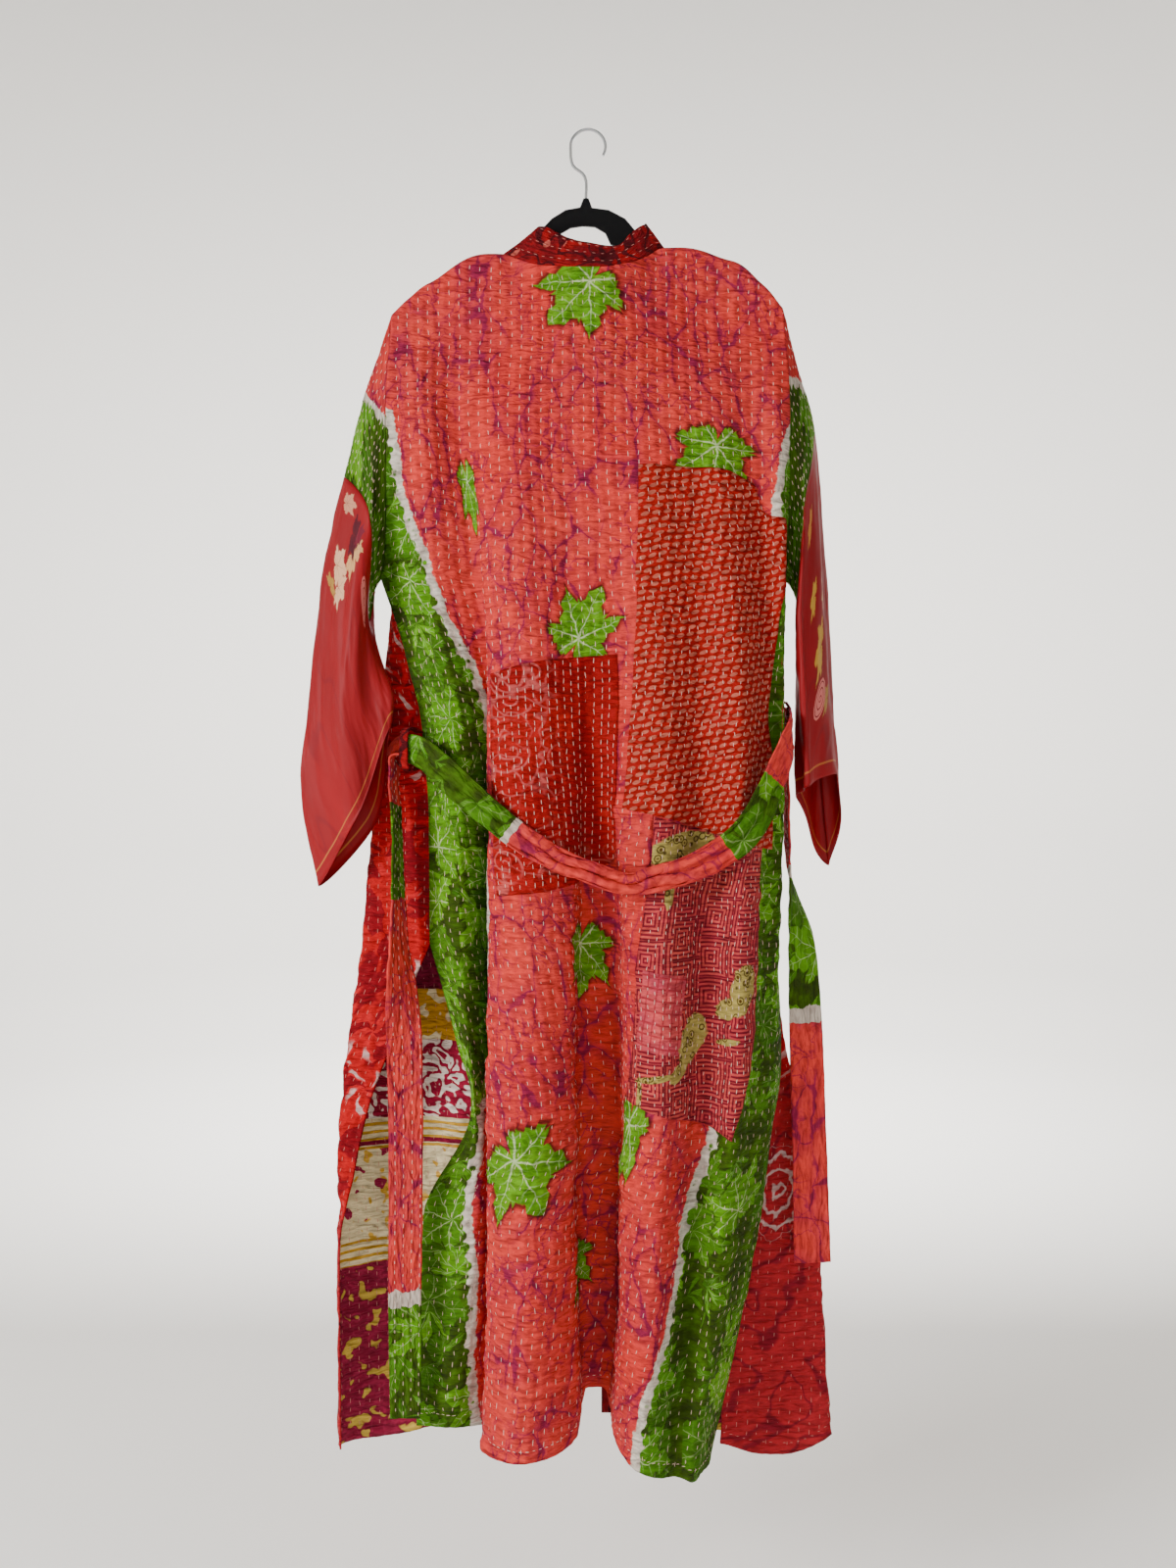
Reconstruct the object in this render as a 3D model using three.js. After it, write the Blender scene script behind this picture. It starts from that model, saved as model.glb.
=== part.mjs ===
import * as THREE from "three";

// Long quilted kimono robe, hung on a slim hanger and seen from its back.
// Millimetres, +Z up, the back of the robe towards -Y, origin in the hook where it hangs.

// Cloth and sewing
const quiltWall = 2.2;
const silkWall = 1.1;
const quiltRaise = 0.5;
const channelColumn = 12;
const hiddenColumn = 15;
const seamGap = 0.2;
const laidGap = 0.3;
const patchWall = 0.9;
const ridgeRadius = 10;

// Heights that the long seams share
const underarmHeight = -520;
const slitHeight = -935;
const levels = [-265, -330, -400, -460, -520, -575, -630, -680, -730, -780, -830, -880, -935];
const rowsBelowSlit = 10;
const roll = [0, 8, 16];
const armholeRow = roll.length + 1 + levels.indexOf(underarmHeight);
const slitRow = roll.length + 1 + levels.indexOf(slitHeight);

// Belt, loops, hanger and hook
const beltThick = 2.4;
const loopThick = 1.6;
const loopWide = 12;
const hangerThick = 5;
const hangerDeep = 18;
const hangerEdge = 1;
const wireRadius = 1.75;
const hookRadius = 20.25;

const colours = {
  coral: ["#c4402c", 0.9, 0],
  green: ["#4f5a2c", 0.9, 0],
  deepRed: ["#8e1f22", 0.9, 0],
  brick: ["#b03a24", 0.9, 0],
  rose: ["#b8323a", 0.9, 0],
  silk: ["#7d1420", 0.5, 0],
  flock: ["#141417", 0.95, 0],
  steel: ["#b9bcc0", 0.3, 1],
};

// Top of the shoulders and the back of the neck, x and z with the depth of the edge
const ridge = [
  { x: -226, z: -213, y: 0 },
  { x: -205, z: -193, y: 0 },
  { x: -180, z: -175, y: 0 },
  { x: -101, z: -143, y: 0 },
  { x: -76, z: -156, y: -14 },
  { x: -50, z: -166, y: -25 },
  { x: 0, z: -172, y: -35 },
  { x: 44, z: -164, y: -26 },
  { x: 68, z: -151, y: -14 },
  { x: 90, z: -136, y: 0 },
  { x: 158, z: -149, y: 0 },
  { x: 200, z: -177, y: 0 },
  { x: 224, z: -205, y: 0 },
];
const neck = { left: -101, right: 90 };

// Side edges: the armhole on the back and on the front, the side seam, then the two slit edges
const sides = {
  left: {
    armhole: [
      { z: -213, x: -226, back: 0, front: 0 },
      { z: -300, x: -228, back: -30, front: 24 },
      { z: -380, x: -227, back: -38, front: 30 },
      { z: -460, x: -229, back: -28, front: 20 },
      { z: -520, x: -238, back: -6, front: -6 },
    ],
    seam: [
      { z: -520, x: -238, y: -6 },
      { z: -620, x: -206, y: -14 },
      { z: -720, x: -187, y: -19 },
      { z: -820, x: -181, y: -22 },
      { z: -935, x: -180, y: -24 },
    ],
    slitBack: [
      { z: -935, x: -180, y: -24 },
      { z: -1054, x: -147, y: -30 },
      { z: -1120, x: -132, y: -32 },
      { z: -1243, x: -186, y: -28 },
      { z: -1500, x: -195, y: -26 },
    ],
    slitFront: [
      { z: -935, x: -180, y: -24 },
      { z: -1046, x: -224, y: -15 },
      { z: -1205, x: -270, y: -9 },
      { z: -1318, x: -287, y: -9 },
      { z: -1520, x: -286, y: -6 },
    ],
  },
  right: {
    armhole: [
      { z: -205, x: 224, back: 0, front: 0 },
      { z: -300, x: 228, back: -28, front: 24 },
      { z: -380, x: 227, back: -38, front: 30 },
      { z: -460, x: 227, back: -28, front: 20 },
      { z: -520, x: 226, back: -6, front: -6 },
    ],
    seam: [
      { z: -520, x: 226, y: -6 },
      { z: -620, x: 220, y: -14 },
      { z: -720, x: 216, y: -18 },
      { z: -935, x: 213, y: -18 },
    ],
    slitBack: [
      { z: -935, x: 213, y: -18 },
      { z: -1056, x: 220, y: -20 },
      { z: -1146, x: 210, y: -20 },
      { z: -1313, x: 184, y: -20 },
      { z: -1520, x: 140, y: -20 },
    ],
    slitFront: [
      { z: -935, x: 213, y: -18 },
      { z: -1060, x: 204, y: -10 },
      { z: -1200, x: 180, y: -4 },
      { z: -1350, x: 165, y: -2 },
      { z: -1520, x: 153, y: 0 },
    ],
  },
};

// Folds, a row each from one side to the other: where they stand in x and y at seven heights
const foldHeights = [-240, -380, -520, -720, -940, -1200, -1500];
const backFolds = [
  { fold: "left bulge", x: [-193, -181, -177, -145, -141, -124, -162], y: [-14, -52, -50, -58, -58, -48, -45] },
  { fold: "left valley", x: [-163, -143, -124, -107, -108, -102, -115], y: [-14, -36, -38, -30, -22, -20, -25] },
  { fold: "column edge", x: [-140, -128, -117, -114, -113, -112, -118], y: [-16, -44, -48, -52, -62, -70, -75] },
  { fold: "column crest", x: [-100, -87, -75, -64, -63, -65, -65], y: [-22, -58, -70, -82, -92, -102, -110] },
  { fold: "column side", x: [-44, -22, -16, -13, -17, -17, -9], y: [-32, -56, -60, -66, -70, -70, -70] },
  { fold: "recess left", x: [-10, -4, -2, -2, -6, -8, -3], y: [-36, -59, -62, -55, -32, -20, -16] },
  { fold: "recess right", x: [16, 16, 16, 18, 31, 29, 18], y: [-36, -60, -62, -56, -32, -20, -16] },
  { fold: "right column", x: [44, 35, 32, 30, 43, 39, 26], y: [-32, -60, -64, -68, -70, -75, -80] },
  { fold: "right crest", x: [76, 74, 75, 81, 82, 75, 57], y: [-24, -62, -74, -86, -96, -104, -110] },
  { fold: "dent", x: [112, 115, 123, 127, 130, 121, 97], y: [-18, -56, -62, -66, -62, -66, -84] },
  { fold: "far crest", x: [146, 150, 159, 166, 166, 148, 113], y: [-14, -55, -68, -84, -92, -94, -85] },
  { fold: "right valley", x: [176, 188, 200, 203, 194, 176, 128], y: [-12, -40, -42, -46, -62, -66, -60] },
  { fold: "right bulge", x: [202, 213, 217, 220, 216, 198, 137], y: [-10, -50, -52, -50, -44, -42, -40] },
];
const frontFolds = {
  left: [
    { fold: "outer", x: [-206, -212, -226, -248, -264, -291, -292], y: [12, 34, 18, 10, 8, 4, 4] },
    { fold: "turn", x: [-185, -190, -204, -228, -240, -264, -264], y: [14, 38, 34, 34, 34, 26, 26] },
    { fold: "swell", x: [-160, -160, -165, -180, -185, -200, -200], y: [15, 38, 44, 48, 50, 44, 40] },
    { fold: "dent", x: [-135, -130, -130, -132, -134, -138, -140], y: [15, 32, 34, 34, 36, 30, 28] },
    { fold: "crest", x: [-115, -108, -105, -104, -102, -100, -100], y: [15, 36, 42, 46, 48, 46, 44] },
  ],
  right: [
    { fold: "outer", x: [204, 212, 222, 221, 217, 262, 284], y: [12, 34, 16, 2, 2, 10, 12] },
    { fold: "turn", x: [182, 188, 198, 206, 202, 240, 264], y: [14, 38, 34, 30, 28, 34, 34] },
    { fold: "swell", x: [156, 158, 165, 172, 170, 190, 205], y: [15, 38, 44, 48, 50, 48, 46] },
    { fold: "dent", x: [132, 128, 130, 132, 134, 138, 142], y: [15, 32, 34, 36, 36, 32, 30] },
    { fold: "crest", x: [106, 104, 104, 104, 102, 100, 100], y: [15, 36, 42, 46, 48, 46, 44] },
  ],
};

// Front edge seam at the same heights, and the free edge of the neck band
const frontEdge = {
  left: { x: [-99, -90, -83, -78, -76, -76, -76], y: [14, 30, 34, 36, 36, 36, 36] },
  right: { x: [89, 84, 80, 78, 76, 76, 76], y: [14, 30, 34, 36, 36, 36, 36] },
};
const bandPlaces = [
  { z: -143, over: 39, out: 3, up: 31 },
  { z: -170, over: 44, out: 6, up: 27 },
  { z: -240, over: 52, out: 6, up: 16 },
  { z: -400, over: 58, out: 4, up: 6 },
  { z: -650, over: 60, out: 2, up: 0 },
  { z: -1520, over: 60, out: 0, up: 0 },
];
const collarPlaces = [
  { x: -101, over: 40, y: 4, z: -112 },
  { x: -88, over: 33, y: -6, z: -113 },
  { x: -60, over: 24, y: -11, z: -122 },
  { x: -30, over: 10, y: -15, z: -131 },
  { x: 0, over: 2, y: -18, z: -137 },
  { x: 30, over: -2, y: -16, z: -140 },
  { x: 58, over: -10, y: -11, z: -124 },
  { x: 80, over: -18, y: -6, z: -112 },
  { x: 90, over: -22, y: 4, z: -108 },
];

// Hems, height at each x
const backHem = [
  { x: -200, z: -1484 },
  { x: -159, z: -1476 },
  { x: -118, z: -1483 },
  { x: -62, z: -1479 },
  { x: -9, z: -1472 },
  { x: -2, z: -1446 },
  { x: 18, z: -1446 },
  { x: 26, z: -1472 },
  { x: 62, z: -1492 },
  { x: 100, z: -1508 },
  { x: 145, z: -1523 },
];
const frontHem = {
  left: [
    { x: -300, z: -1520 },
    { x: -240, z: -1524 },
    { x: -150, z: -1506 },
    { x: -76, z: -1496 },
  ],
  right: [
    { x: 76, z: -1500 },
    { x: 153, z: -1518 },
    { x: 220, z: -1533 },
    { x: 285, z: -1512 },
  ],
};

// Sleeves: rings after the armhole, each given by its top, back, under and front points
const sleeveRings = {
  left: [
    { ring: "cap", top: [-258, 0, -302], back: [-238, -44, -402], under: [-247, -8, -538], front: [-242, 34, -402] },
    { ring: "cap end", top: [-281, 0, -400], back: [-244, -48, -452], under: [-250, -18, -568], front: [-249, 26, -452] },
    { ring: "upper", top: [-304, -6, -517], back: [-260, -52, -540], under: [-240, -28, -606], front: [-260, 6, -538] },
    { ring: "middle", top: [-317, -12, -664], back: [-270, -52, -660], under: [-223, -40, -652], front: [-272, -14, -660] },
    { ring: "lower", top: [-327, -14, -766], back: [-262, -50, -728], under: [-222, -41, -676], front: [-262, -16, -740] },
    { ring: "cuff", top: [-307, -16, -872], back: [-258, -44, -792], under: [-222, -41, -690], front: [-246, -18, -806] },
  ],
  right: [
    { ring: "cap", top: [246, 2, -280], back: [238, -40, -400], under: [237, -2, -536], front: [246, 40, -385] },
    { ring: "cap end", top: [264, 5, -348], back: [243, -42, -446], under: [242, 0, -556], front: [261, 46, -420] },
    { ring: "upper", top: [277, 8, -515], back: [240, -45, -548], under: [241, 2, -600], front: [272, 48, -530] },
    { ring: "middle", top: [284, 6, -640], back: [243, -46, -650], under: [242, 2, -664], front: [276, 50, -680] },
    { ring: "lower", top: [288, 4, -700], back: [246, -45, -708], under: [243, 2, -720], front: [282, 48, -775] },
    { ring: "cuff", top: [291, 2, -746], back: [247, -42, -758], under: [243, 0, -772], front: [287, 46, -852] },
  ],
};
const sleeveFolds = { left: { count: 4, deep: 2.5 }, right: { count: 5, deep: 3 } };
const capRows = 4;
const endRows = 8;
const capShare = 2 / 6;

// Patches on the back, from one column and row of the back's own grid to another
const patches = [
  { name: "patch_deep_red", colour: "deepRed", left: -114, right: 24, top: -630, bottom: -880 },
  { name: "patch_brick", colour: "brick", left: 46, right: 206, top: -400, bottom: -780 },
  { name: "patch_coral", colour: "coral", left: 28, right: 68, top: -780, bottom: -880 },
  { name: "patch_rose", colour: "rose", left: 70, right: 192, top: -830, bottom: -1120 },
];

// Belt from its left tip to its right tip: middle, direction across it and width
const beltPlaces = [
  { x: -203, y: -54, z: -1459, across: [1, 0, 0.1], wide: 34 },
  { x: -203, y: -56, z: -1320, across: [1, 0.1, 0], wide: 37 },
  { x: -202, y: -56, z: -1180, across: [1, 0.1, 0], wide: 38 },
  { x: -204, y: -54, z: -1040, across: [0.95, 0.3, 0], wide: 40 },
  { x: -211, y: -50, z: -930, across: [0.35, 0.94, 0], wide: 41 },
  { x: -213, y: -46, z: -830, across: [0.1, 1, 0], wide: 42 },
  { x: -216, y: -40, z: -780, across: [0.1, 1, 0.1], wide: 38 },
  { x: -220, y: -31, z: -748, across: [0.1, 0.9, 0.4], wide: 32 },
  { x: -217, y: -23, z: -718, across: [0.1, 0.15, 1], wide: 31 },
  { x: -203, y: -35.5, z: -715, across: [0, 0, 1], wide: 33 },
  { x: -183, y: -53, z: -722, across: [0, 0, 1], wide: 36 },
  { x: -160, y: -70, z: -740, across: [0, 0, 1], wide: 36 },
  { x: -107, y: -84, z: -787, across: [0.3, 0, 1], wide: 34 },
  { x: -63, y: -96, z: -820, across: [0.3, 0, 1], wide: 32 },
  { x: -10, y: -100, z: -845, across: [0.1, 0, 1], wide: 28 },
  { x: 42, y: -102, z: -862, across: [0, 0, 1], wide: 28 },
  { x: 88, y: -104, z: -853, across: [-0.1, 0, 1], wide: 32 },
  { x: 130, y: -103, z: -836, across: [-0.3, 0, 1], wide: 36 },
  { x: 170, y: -102, z: -806, across: [-0.3, 0, 1], wide: 36 },
  { x: 202, y: -86, z: -750, across: [0, 0, 1], wide: 34 },
  { x: 223, y: -64, z: -702, across: [0, 0, 1], wide: 33 },
  { x: 227, y: -40, z: -687, across: [0, 0, 1], wide: 33 },
  { x: 226, y: -20, z: -684, across: [0, 0, 1], wide: 33 },
  { x: 227, y: -2, z: -685, across: [0, 0.05, 1], wide: 33 },
  { x: 229, y: 9, z: -703, across: [0.05, 0.75, 0.65], wide: 33 },
  { x: 229, y: -3, z: -745, across: [0.05, 1, 0], wide: 36 },
  { x: 229, y: -22, z: -850, across: [0.1, 1, 0], wide: 38 },
  { x: 240, y: -36, z: -930, across: [0.8, 0.6, 0], wide: 40 },
  { x: 246, y: -34, z: -1040, across: [1, 0.2, 0], wide: 40 },
  { x: 250, y: -32, z: -1160, across: [1, 0.1, 0], wide: 40 },
  { x: 254, y: -30, z: -1296, across: [1, 0, 0], wide: 42 },
];
const beltRows = 72;

// Belt loops: where each leaves its side seam, the way it stands out, and its size
const loops = [
  { name: "belt_loop_left", x: -191.5, y: -19.6, z: -716, out: [-0.6, -0.8], stand: 25, tall: 48 },
  { name: "belt_loop_right", x: 220.1, y: -18, z: -684, out: [1, 0], stand: 9.8, tall: 46 },
];

// Hanger arch above the shoulders, outer line then inner line, and the neck that takes the hook
const archOuter = [
  [-57, -118],
  [-42, -102],
  [-26, -92],
  [-6, -88.5],
  [24, -92],
  [43, -102],
  [53, -114],
];
const archInner = [
  [26, -131],
  [20, -118],
  [8, -111],
  [-6, -110],
  [-20, -112],
  [-36, -121],
];
const hangerNeck = { x: -2.3, base: 7, tip: 3, z: -78.6 };
const hookPlaces = [
  [-2.3, -78.2],
  [-2.3, -58],
  [-5.7, -50],
  [-17, -41],
  [-19.8, -31],
];
const hookTurn = { centre: [0, -18.5], from: 190, to: -30, steps: 15 };

const vec = (x, y, z) => new THREE.Vector3(x, y, z);

// Smooth value through numbers at changing places, level beyond both ends
function smoothValue(places, values, at) {
  const rising = places[places.length - 1] > places[0];
  const p = rising ? places : [...places].reverse();
  const v = rising ? values : [...values].reverse();
  const last = p.length - 1;
  if (at <= p[0]) return v[0];
  if (at >= p[last]) return v[last];
  const slope = (i) => {
    if (i === 0) return (v[1] - v[0]) / (p[1] - p[0]);
    if (i === last) return (v[last] - v[last - 1]) / (p[last] - p[last - 1]);
    const before = (v[i] - v[i - 1]) / (p[i] - p[i - 1]);
    const after = (v[i + 1] - v[i]) / (p[i + 1] - p[i]);
    if (before * after <= 0) return 0;
    return (2 * before * after) / (before + after);
  };
  let i = 0;
  while (at > p[i + 1]) i += 1;
  const span = p[i + 1] - p[i];
  const t = (at - p[i]) / span;
  const a = v[i] + slope(i) * t * span;
  const b = v[i + 1] - slope(i + 1) * (1 - t) * span;
  const ease = t * t * (3 - 2 * t);
  return a * (1 - ease) + b * ease;
}

const column = (table, key) => table.map((row) => row[key]);

function ridgeAt(x, key) {
  return smoothValue(column(ridge, "x"), column(ridge, key), x);
}

function sideAt(side, panel, z) {
  const part = sides[side];
  let table = part.armhole;
  let depth = panel;
  if (z < slitHeight) {
    table = panel === "back" ? part.slitBack : part.slitFront;
    depth = "y";
  } else if (z < underarmHeight) {
    table = part.seam;
    depth = "y";
  }
  const heights = column(table, "z");
  return [smoothValue(heights, column(table, "x"), z), smoothValue(heights, column(table, depth), z)];
}

const foldAt = (fold, z) => [smoothValue(foldHeights, fold.x, z), smoothValue(foldHeights, fold.y, z)];

// Line of a panel at one height, from its side edge (or left edge) to its front edge (or right edge)
const sections = new Map();
function sectionAt(panel, z) {
  const key = panel + z.toFixed(2);
  if (sections.has(key)) return sections.get(key);
  let places;
  if (panel === "back") {
    const middle = backFolds.map((fold) => foldAt(fold, z));
    places = [sideAt("left", "back", z), ...middle, sideAt("right", "back", z)];
  } else {
    const middle = frontFolds[panel].map((fold) => foldAt(fold, z));
    places = [sideAt(panel, "front", z), ...middle, foldAt(frontEdge[panel], z)];
  }
  const points = places.map(([x, y]) => vec(x, y, 0));
  const line = new THREE.CatmullRomCurve3(points, false, "centripetal");
  line.arcLengthDivisions = 160;
  sections.set(key, line);
  return line;
}

// How sharply a column rolls over the hanger: fully on the shoulders, not at all behind the neck
function rollRadius(x) {
  const inside = Math.min(x - neck.left, neck.right - x);
  return ridgeRadius * Math.min(1, Math.max(0, 1 - inside / 20));
}

function heightWhereItMeets(panel, share, start, edge) {
  let z = start;
  for (let step = 0; step < 6; step += 1) z = edge(sectionAt(panel, z).getPointAt(share).x);
  return z;
}

// Share of the width at each column of the back, with a column at each neck point
function backShares(columns) {
  const shareAt = (x) => {
    const topOf = (share) => heightWhereItMeets("back", share, -180, (at) => ridgeAt(at, "z"));
    let low = 0;
    let high = 1;
    for (let step = 0; step < 24; step += 1) {
      const middle = (low + high) / 2;
      if (sectionAt("back", topOf(middle)).getPointAt(middle).x < x) low = middle;
      else high = middle;
    }
    return low;
  };
  const left = shareAt(neck.left);
  const right = shareAt(neck.right);
  const leftColumn = Math.round(left * columns);
  const rightColumn = Math.round(right * columns);
  const shares = [];
  for (let i = 0; i <= columns; i += 1) {
    if (i <= leftColumn) shares.push((left * i) / leftColumn);
    else if (i <= rightColumn) {
      shares.push(left + ((right - left) * (i - leftColumn)) / (rightColumn - leftColumn));
    } else shares.push(right + ((1 - right) * (i - rightColumn)) / (columns - rightColumn));
  }
  return { shares, leftColumn, rightColumn };
}

function panelGrid(panel, columns, shares) {
  const turn = panel === "back" ? -1 : 1;
  const hem = panel === "back" ? backHem : frontHem[panel];
  const hemAt = (x) => smoothValue(column(hem, "x"), column(hem, "z"), x);
  const rows = [];
  const count = slitRow + rowsBelowSlit;
  for (let j = 0; j <= count; j += 1) rows.push([]);
  for (let i = 0; i <= columns; i += 1) {
    const share = shares ? shares[i] : i / columns;
    const top = heightWhereItMeets(panel, share, -180, (x) => ridgeAt(x, "z"));
    const end = heightWhereItMeets(panel, share, -1490, hemAt);
    const topX = sectionAt(panel, top).getPointAt(share).x;
    const radius = turn < 0 ? rollRadius(topX) : ridgeRadius;
    const edgeY = turn < 0 ? ridgeAt(topX, "y") : 0;
    for (let j = 0; j <= count; j += 1) {
      let z;
      let rollY = turn * radius;
      if (j < roll.length) {
        const angle = Math.min(roll[j] / ridgeRadius, Math.PI / 2);
        z = top - (radius * (1 - Math.cos(angle)) + (ridgeRadius - radius) * (roll[j] / 16));
        rollY = turn * radius * Math.sin(angle);
      } else if (j === roll.length) {
        z = (top - ridgeRadius + levels[0]) / 2;
      } else if (j <= slitRow) {
        z = levels[j - roll.length - 1];
      } else {
        z = slitHeight + ((end - slitHeight) * (j - slitRow)) / rowsBelowSlit;
      }
      const place = sectionAt(panel, z).getPointAt(share);
      const drop = Math.max(0, top - z - radius);
      const ease = 1 - Math.exp((-drop * drop) / (45 * 45));
      const y = edgeY + rollY + (place.y - edgeY - turn * radius) * ease + turn * 0.15;
      rows[j].push(vec(place.x, y, z));
    }
  }
  return { rows, turn };
}

// Directions out of the cloth at each point of a grid
function findOuts(grid, wrap) {
  const { rows, turn } = grid;
  grid.outs = rows.map((row, j) =>
    row.map((point, i) => {
      const n = row.length;
      const before = wrap ? row[(i + n - 1) % n] : row[Math.max(0, i - 1)];
      const after = wrap ? row[(i + 1) % n] : row[Math.min(n - 1, i + 1)];
      const above = rows[Math.max(0, j - 1)][i];
      const below = rows[Math.min(rows.length - 1, j + 1)][i];
      const across = after.clone().sub(before);
      return across.cross(below.clone().sub(above)).normalize().multiplyScalar(grid.facing ?? turn);
    }),
  );
}

// Where two pieces meet at an outer corner they share a direction; in a valley each keeps its own
function sew(first, second) {
  const a = first.grid.outs[first.j][first.i];
  const b = second.grid.outs[second.j][second.i];
  const into = ({ grid, j, i, to }) => grid.rows[to[0]][to[1]].clone().sub(grid.rows[j][i]).normalize();
  const valley = into(first).dot(b) + into(second).dot(a) > 0;
  if (valley && a.dot(b) < 0.5) return;
  const shared = a.clone().add(b).multiplyScalar(1 / Math.max(0.6, 1 + a.dot(b)));
  first.grid.outs[first.j][first.i] = shared;
  second.grid.outs[second.j][second.i] = shared.clone();
}

// Closed wall from a grid of outer points, its inner side plain
function wallMesh(name, grid, thick, colour, options = {}) {
  const { wrap = false, raise = 0, lift = 0 } = options;
  const { rows, outs } = grid;
  const lastRow = rows.length - 1;
  const width = rows[0].length;
  const innerRows = rows.map((_, j) => j).filter((j) => j <= (options.fine ?? 3) || j % 2 === 0 || j === lastRow);
  const positions = [];
  const faces = [];
  const add = (point) => positions.push(point.x, point.y, point.z) / 3 - 1;
  const outer = rows.map((row, j) =>
    row.map((point, i) => {
      const edge = !wrap && (i === 0 || i === width - 1);
      const bump = edge || j === 0 || j === lastRow ? 0 : raise * (i % 2);
      return add(point.clone().addScaledVector(outs[j][i], lift + bump));
    }),
  );
  const inner = innerRows.map((j) =>
    rows[j].map((point, i) => add(point.clone().addScaledVector(outs[j][i], lift - thick))),
  );
  const quad = (a, b, c, d) => faces.push(a, b, c, a, c, d);
  const next = (i) => (i + 1) % width;
  const across = wrap ? width : width - 1;
  for (let j = 0; j < lastRow; j += 1) {
    for (let i = 0; i < across; i += 1) {
      quad(outer[j][i], outer[j + 1][i], outer[j + 1][next(i)], outer[j][next(i)]);
    }
  }
  for (let k = 0; k < innerRows.length - 1; k += 1) {
    for (let i = 0; i < across; i += 1) {
      quad(inner[k][i], inner[k][next(i)], inner[k + 1][next(i)], inner[k + 1][i]);
    }
    if (wrap) continue;
    for (const [i, flip] of [[0, false], [width - 1, true]]) {
      for (let j = innerRows[k]; j < innerRows[k + 1]; j += 1) {
        if (flip) faces.push(outer[j][i], outer[j + 1][i], inner[k][i]);
        else faces.push(outer[j + 1][i], outer[j][i], inner[k][i]);
      }
      const corner = outer[innerRows[k + 1]][i];
      if (flip) faces.push(corner, inner[k + 1][i], inner[k][i]);
      else faces.push(inner[k + 1][i], corner, inner[k][i]);
    }
  }
  const lastInner = inner[inner.length - 1];
  for (let i = 0; i < across; i += 1) {
    quad(outer[0][i], outer[0][next(i)], inner[0][next(i)], inner[0][i]);
    quad(outer[lastRow][next(i)], outer[lastRow][i], lastInner[i], lastInner[next(i)]);
  }
  return solid(name, positions, faces, colour);
}

// Mesh with its faces turned outwards
function solid(name, positions, faces, colour) {
  let volume = 0;
  const corner = (k) => vec(positions[3 * k], positions[3 * k + 1], positions[3 * k + 2]);
  for (let f = 0; f < faces.length; f += 3) {
    volume += corner(faces[f]).dot(corner(faces[f + 1]).cross(corner(faces[f + 2])));
  }
  const turned = volume < 0 ? [...faces].reverse() : faces;
  const geometry = new THREE.BufferGeometry();
  geometry.setAttribute("position", new THREE.Float32BufferAttribute(positions, 3));
  geometry.setIndex(turned);
  return finish(name, geometry, colour);
}

function finish(name, geometry, colour) {
  geometry.computeVertexNormals();
  const [shade, roughness, metalness] = colours[colour];
  const mesh = new THREE.Mesh(geometry, new THREE.MeshStandardMaterial({ color: shade, roughness, metalness }));
  mesh.name = name;
  return mesh;
}

function sectionLength(panel, z) {
  return sectionAt(panel, z).getLength();
}

// The three panels
const even = (n) => 2 * Math.round(n / 2);
const backColumns = even(sectionLength("back", -940) / channelColumn);
const frontColumns = even(sectionLength("left", -940) / hiddenColumn);
const backPlan = backShares(backColumns);
const back = panelGrid("back", backColumns, backPlan.shares);
const fronts = { left: panelGrid("left", frontColumns), right: panelGrid("right", frontColumns) };
findOuts(back);
for (const front of Object.values(fronts)) findOuts(front);
fronts.right.outs.flat().forEach((out) => out.negate());
for (const panel of [back, fronts.left, fronts.right]) {
  panel.outs[0].forEach((out, i) => {
    const x = panel.rows[0][i].x;
    if (panel !== back || x < neck.left + 1 || x > neck.right - 1) out.setY(0).normalize();
  });
}

// Two rings of a sleeve that meet share even directions out of the cloth
function joinRings(upper, lower) {
  const last = upper.outs.length - 1;
  let shared = upper.outs[last].map((out, i) => {
    const other = lower.outs[0][i];
    return out.clone().add(other).multiplyScalar(1 / Math.max(0.8, 1 + out.dot(other)));
  });
  const count = shared.length;
  for (let pass = 0; pass < 2; pass += 1) {
    shared = shared.map((out, i) => {
      const sides = shared[(i + 1) % count].clone().add(shared[(i + count - 1) % count]);
      return sides.addScaledVector(out, 2).multiplyScalar(0.25);
    });
  }
  upper.outs[last] = shared;
  lower.outs[0] = shared.map((out) => out.clone());
}

// Armhole line of one side: back edge downwards then front edge upwards
function armholeLine(side) {
  const backEdge = side === "left" ? 0 : backColumns;
  const backInner = side === "left" ? 1 : backColumns - 1;
  const down = [];
  const up = [];
  for (let j = 0; j <= armholeRow; j += 1) {
    down.push({ grid: back, j, i: backEdge, to: [j, backInner] });
    up.unshift({ grid: fronts[side], j, i: 0, to: [j, 1] });
  }
  const stops = [...down, ...up.slice(1, -1)];
  const line = [];
  stops.forEach((stop, k) => {
    const after = stops[(k + 1) % stops.length];
    const inRoll = Math.min(stop.j, after.j) < roll.length - 1;
    const here = stop.grid.rows[stop.j][stop.i].clone();
    const there = after.grid.rows[after.j][after.i];
    line.push({ point: here, stop });
    if (!inRoll) line.push({ point: here.clone().lerp(there, 0.5), stop: null });
  });
  return line;
}

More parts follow.
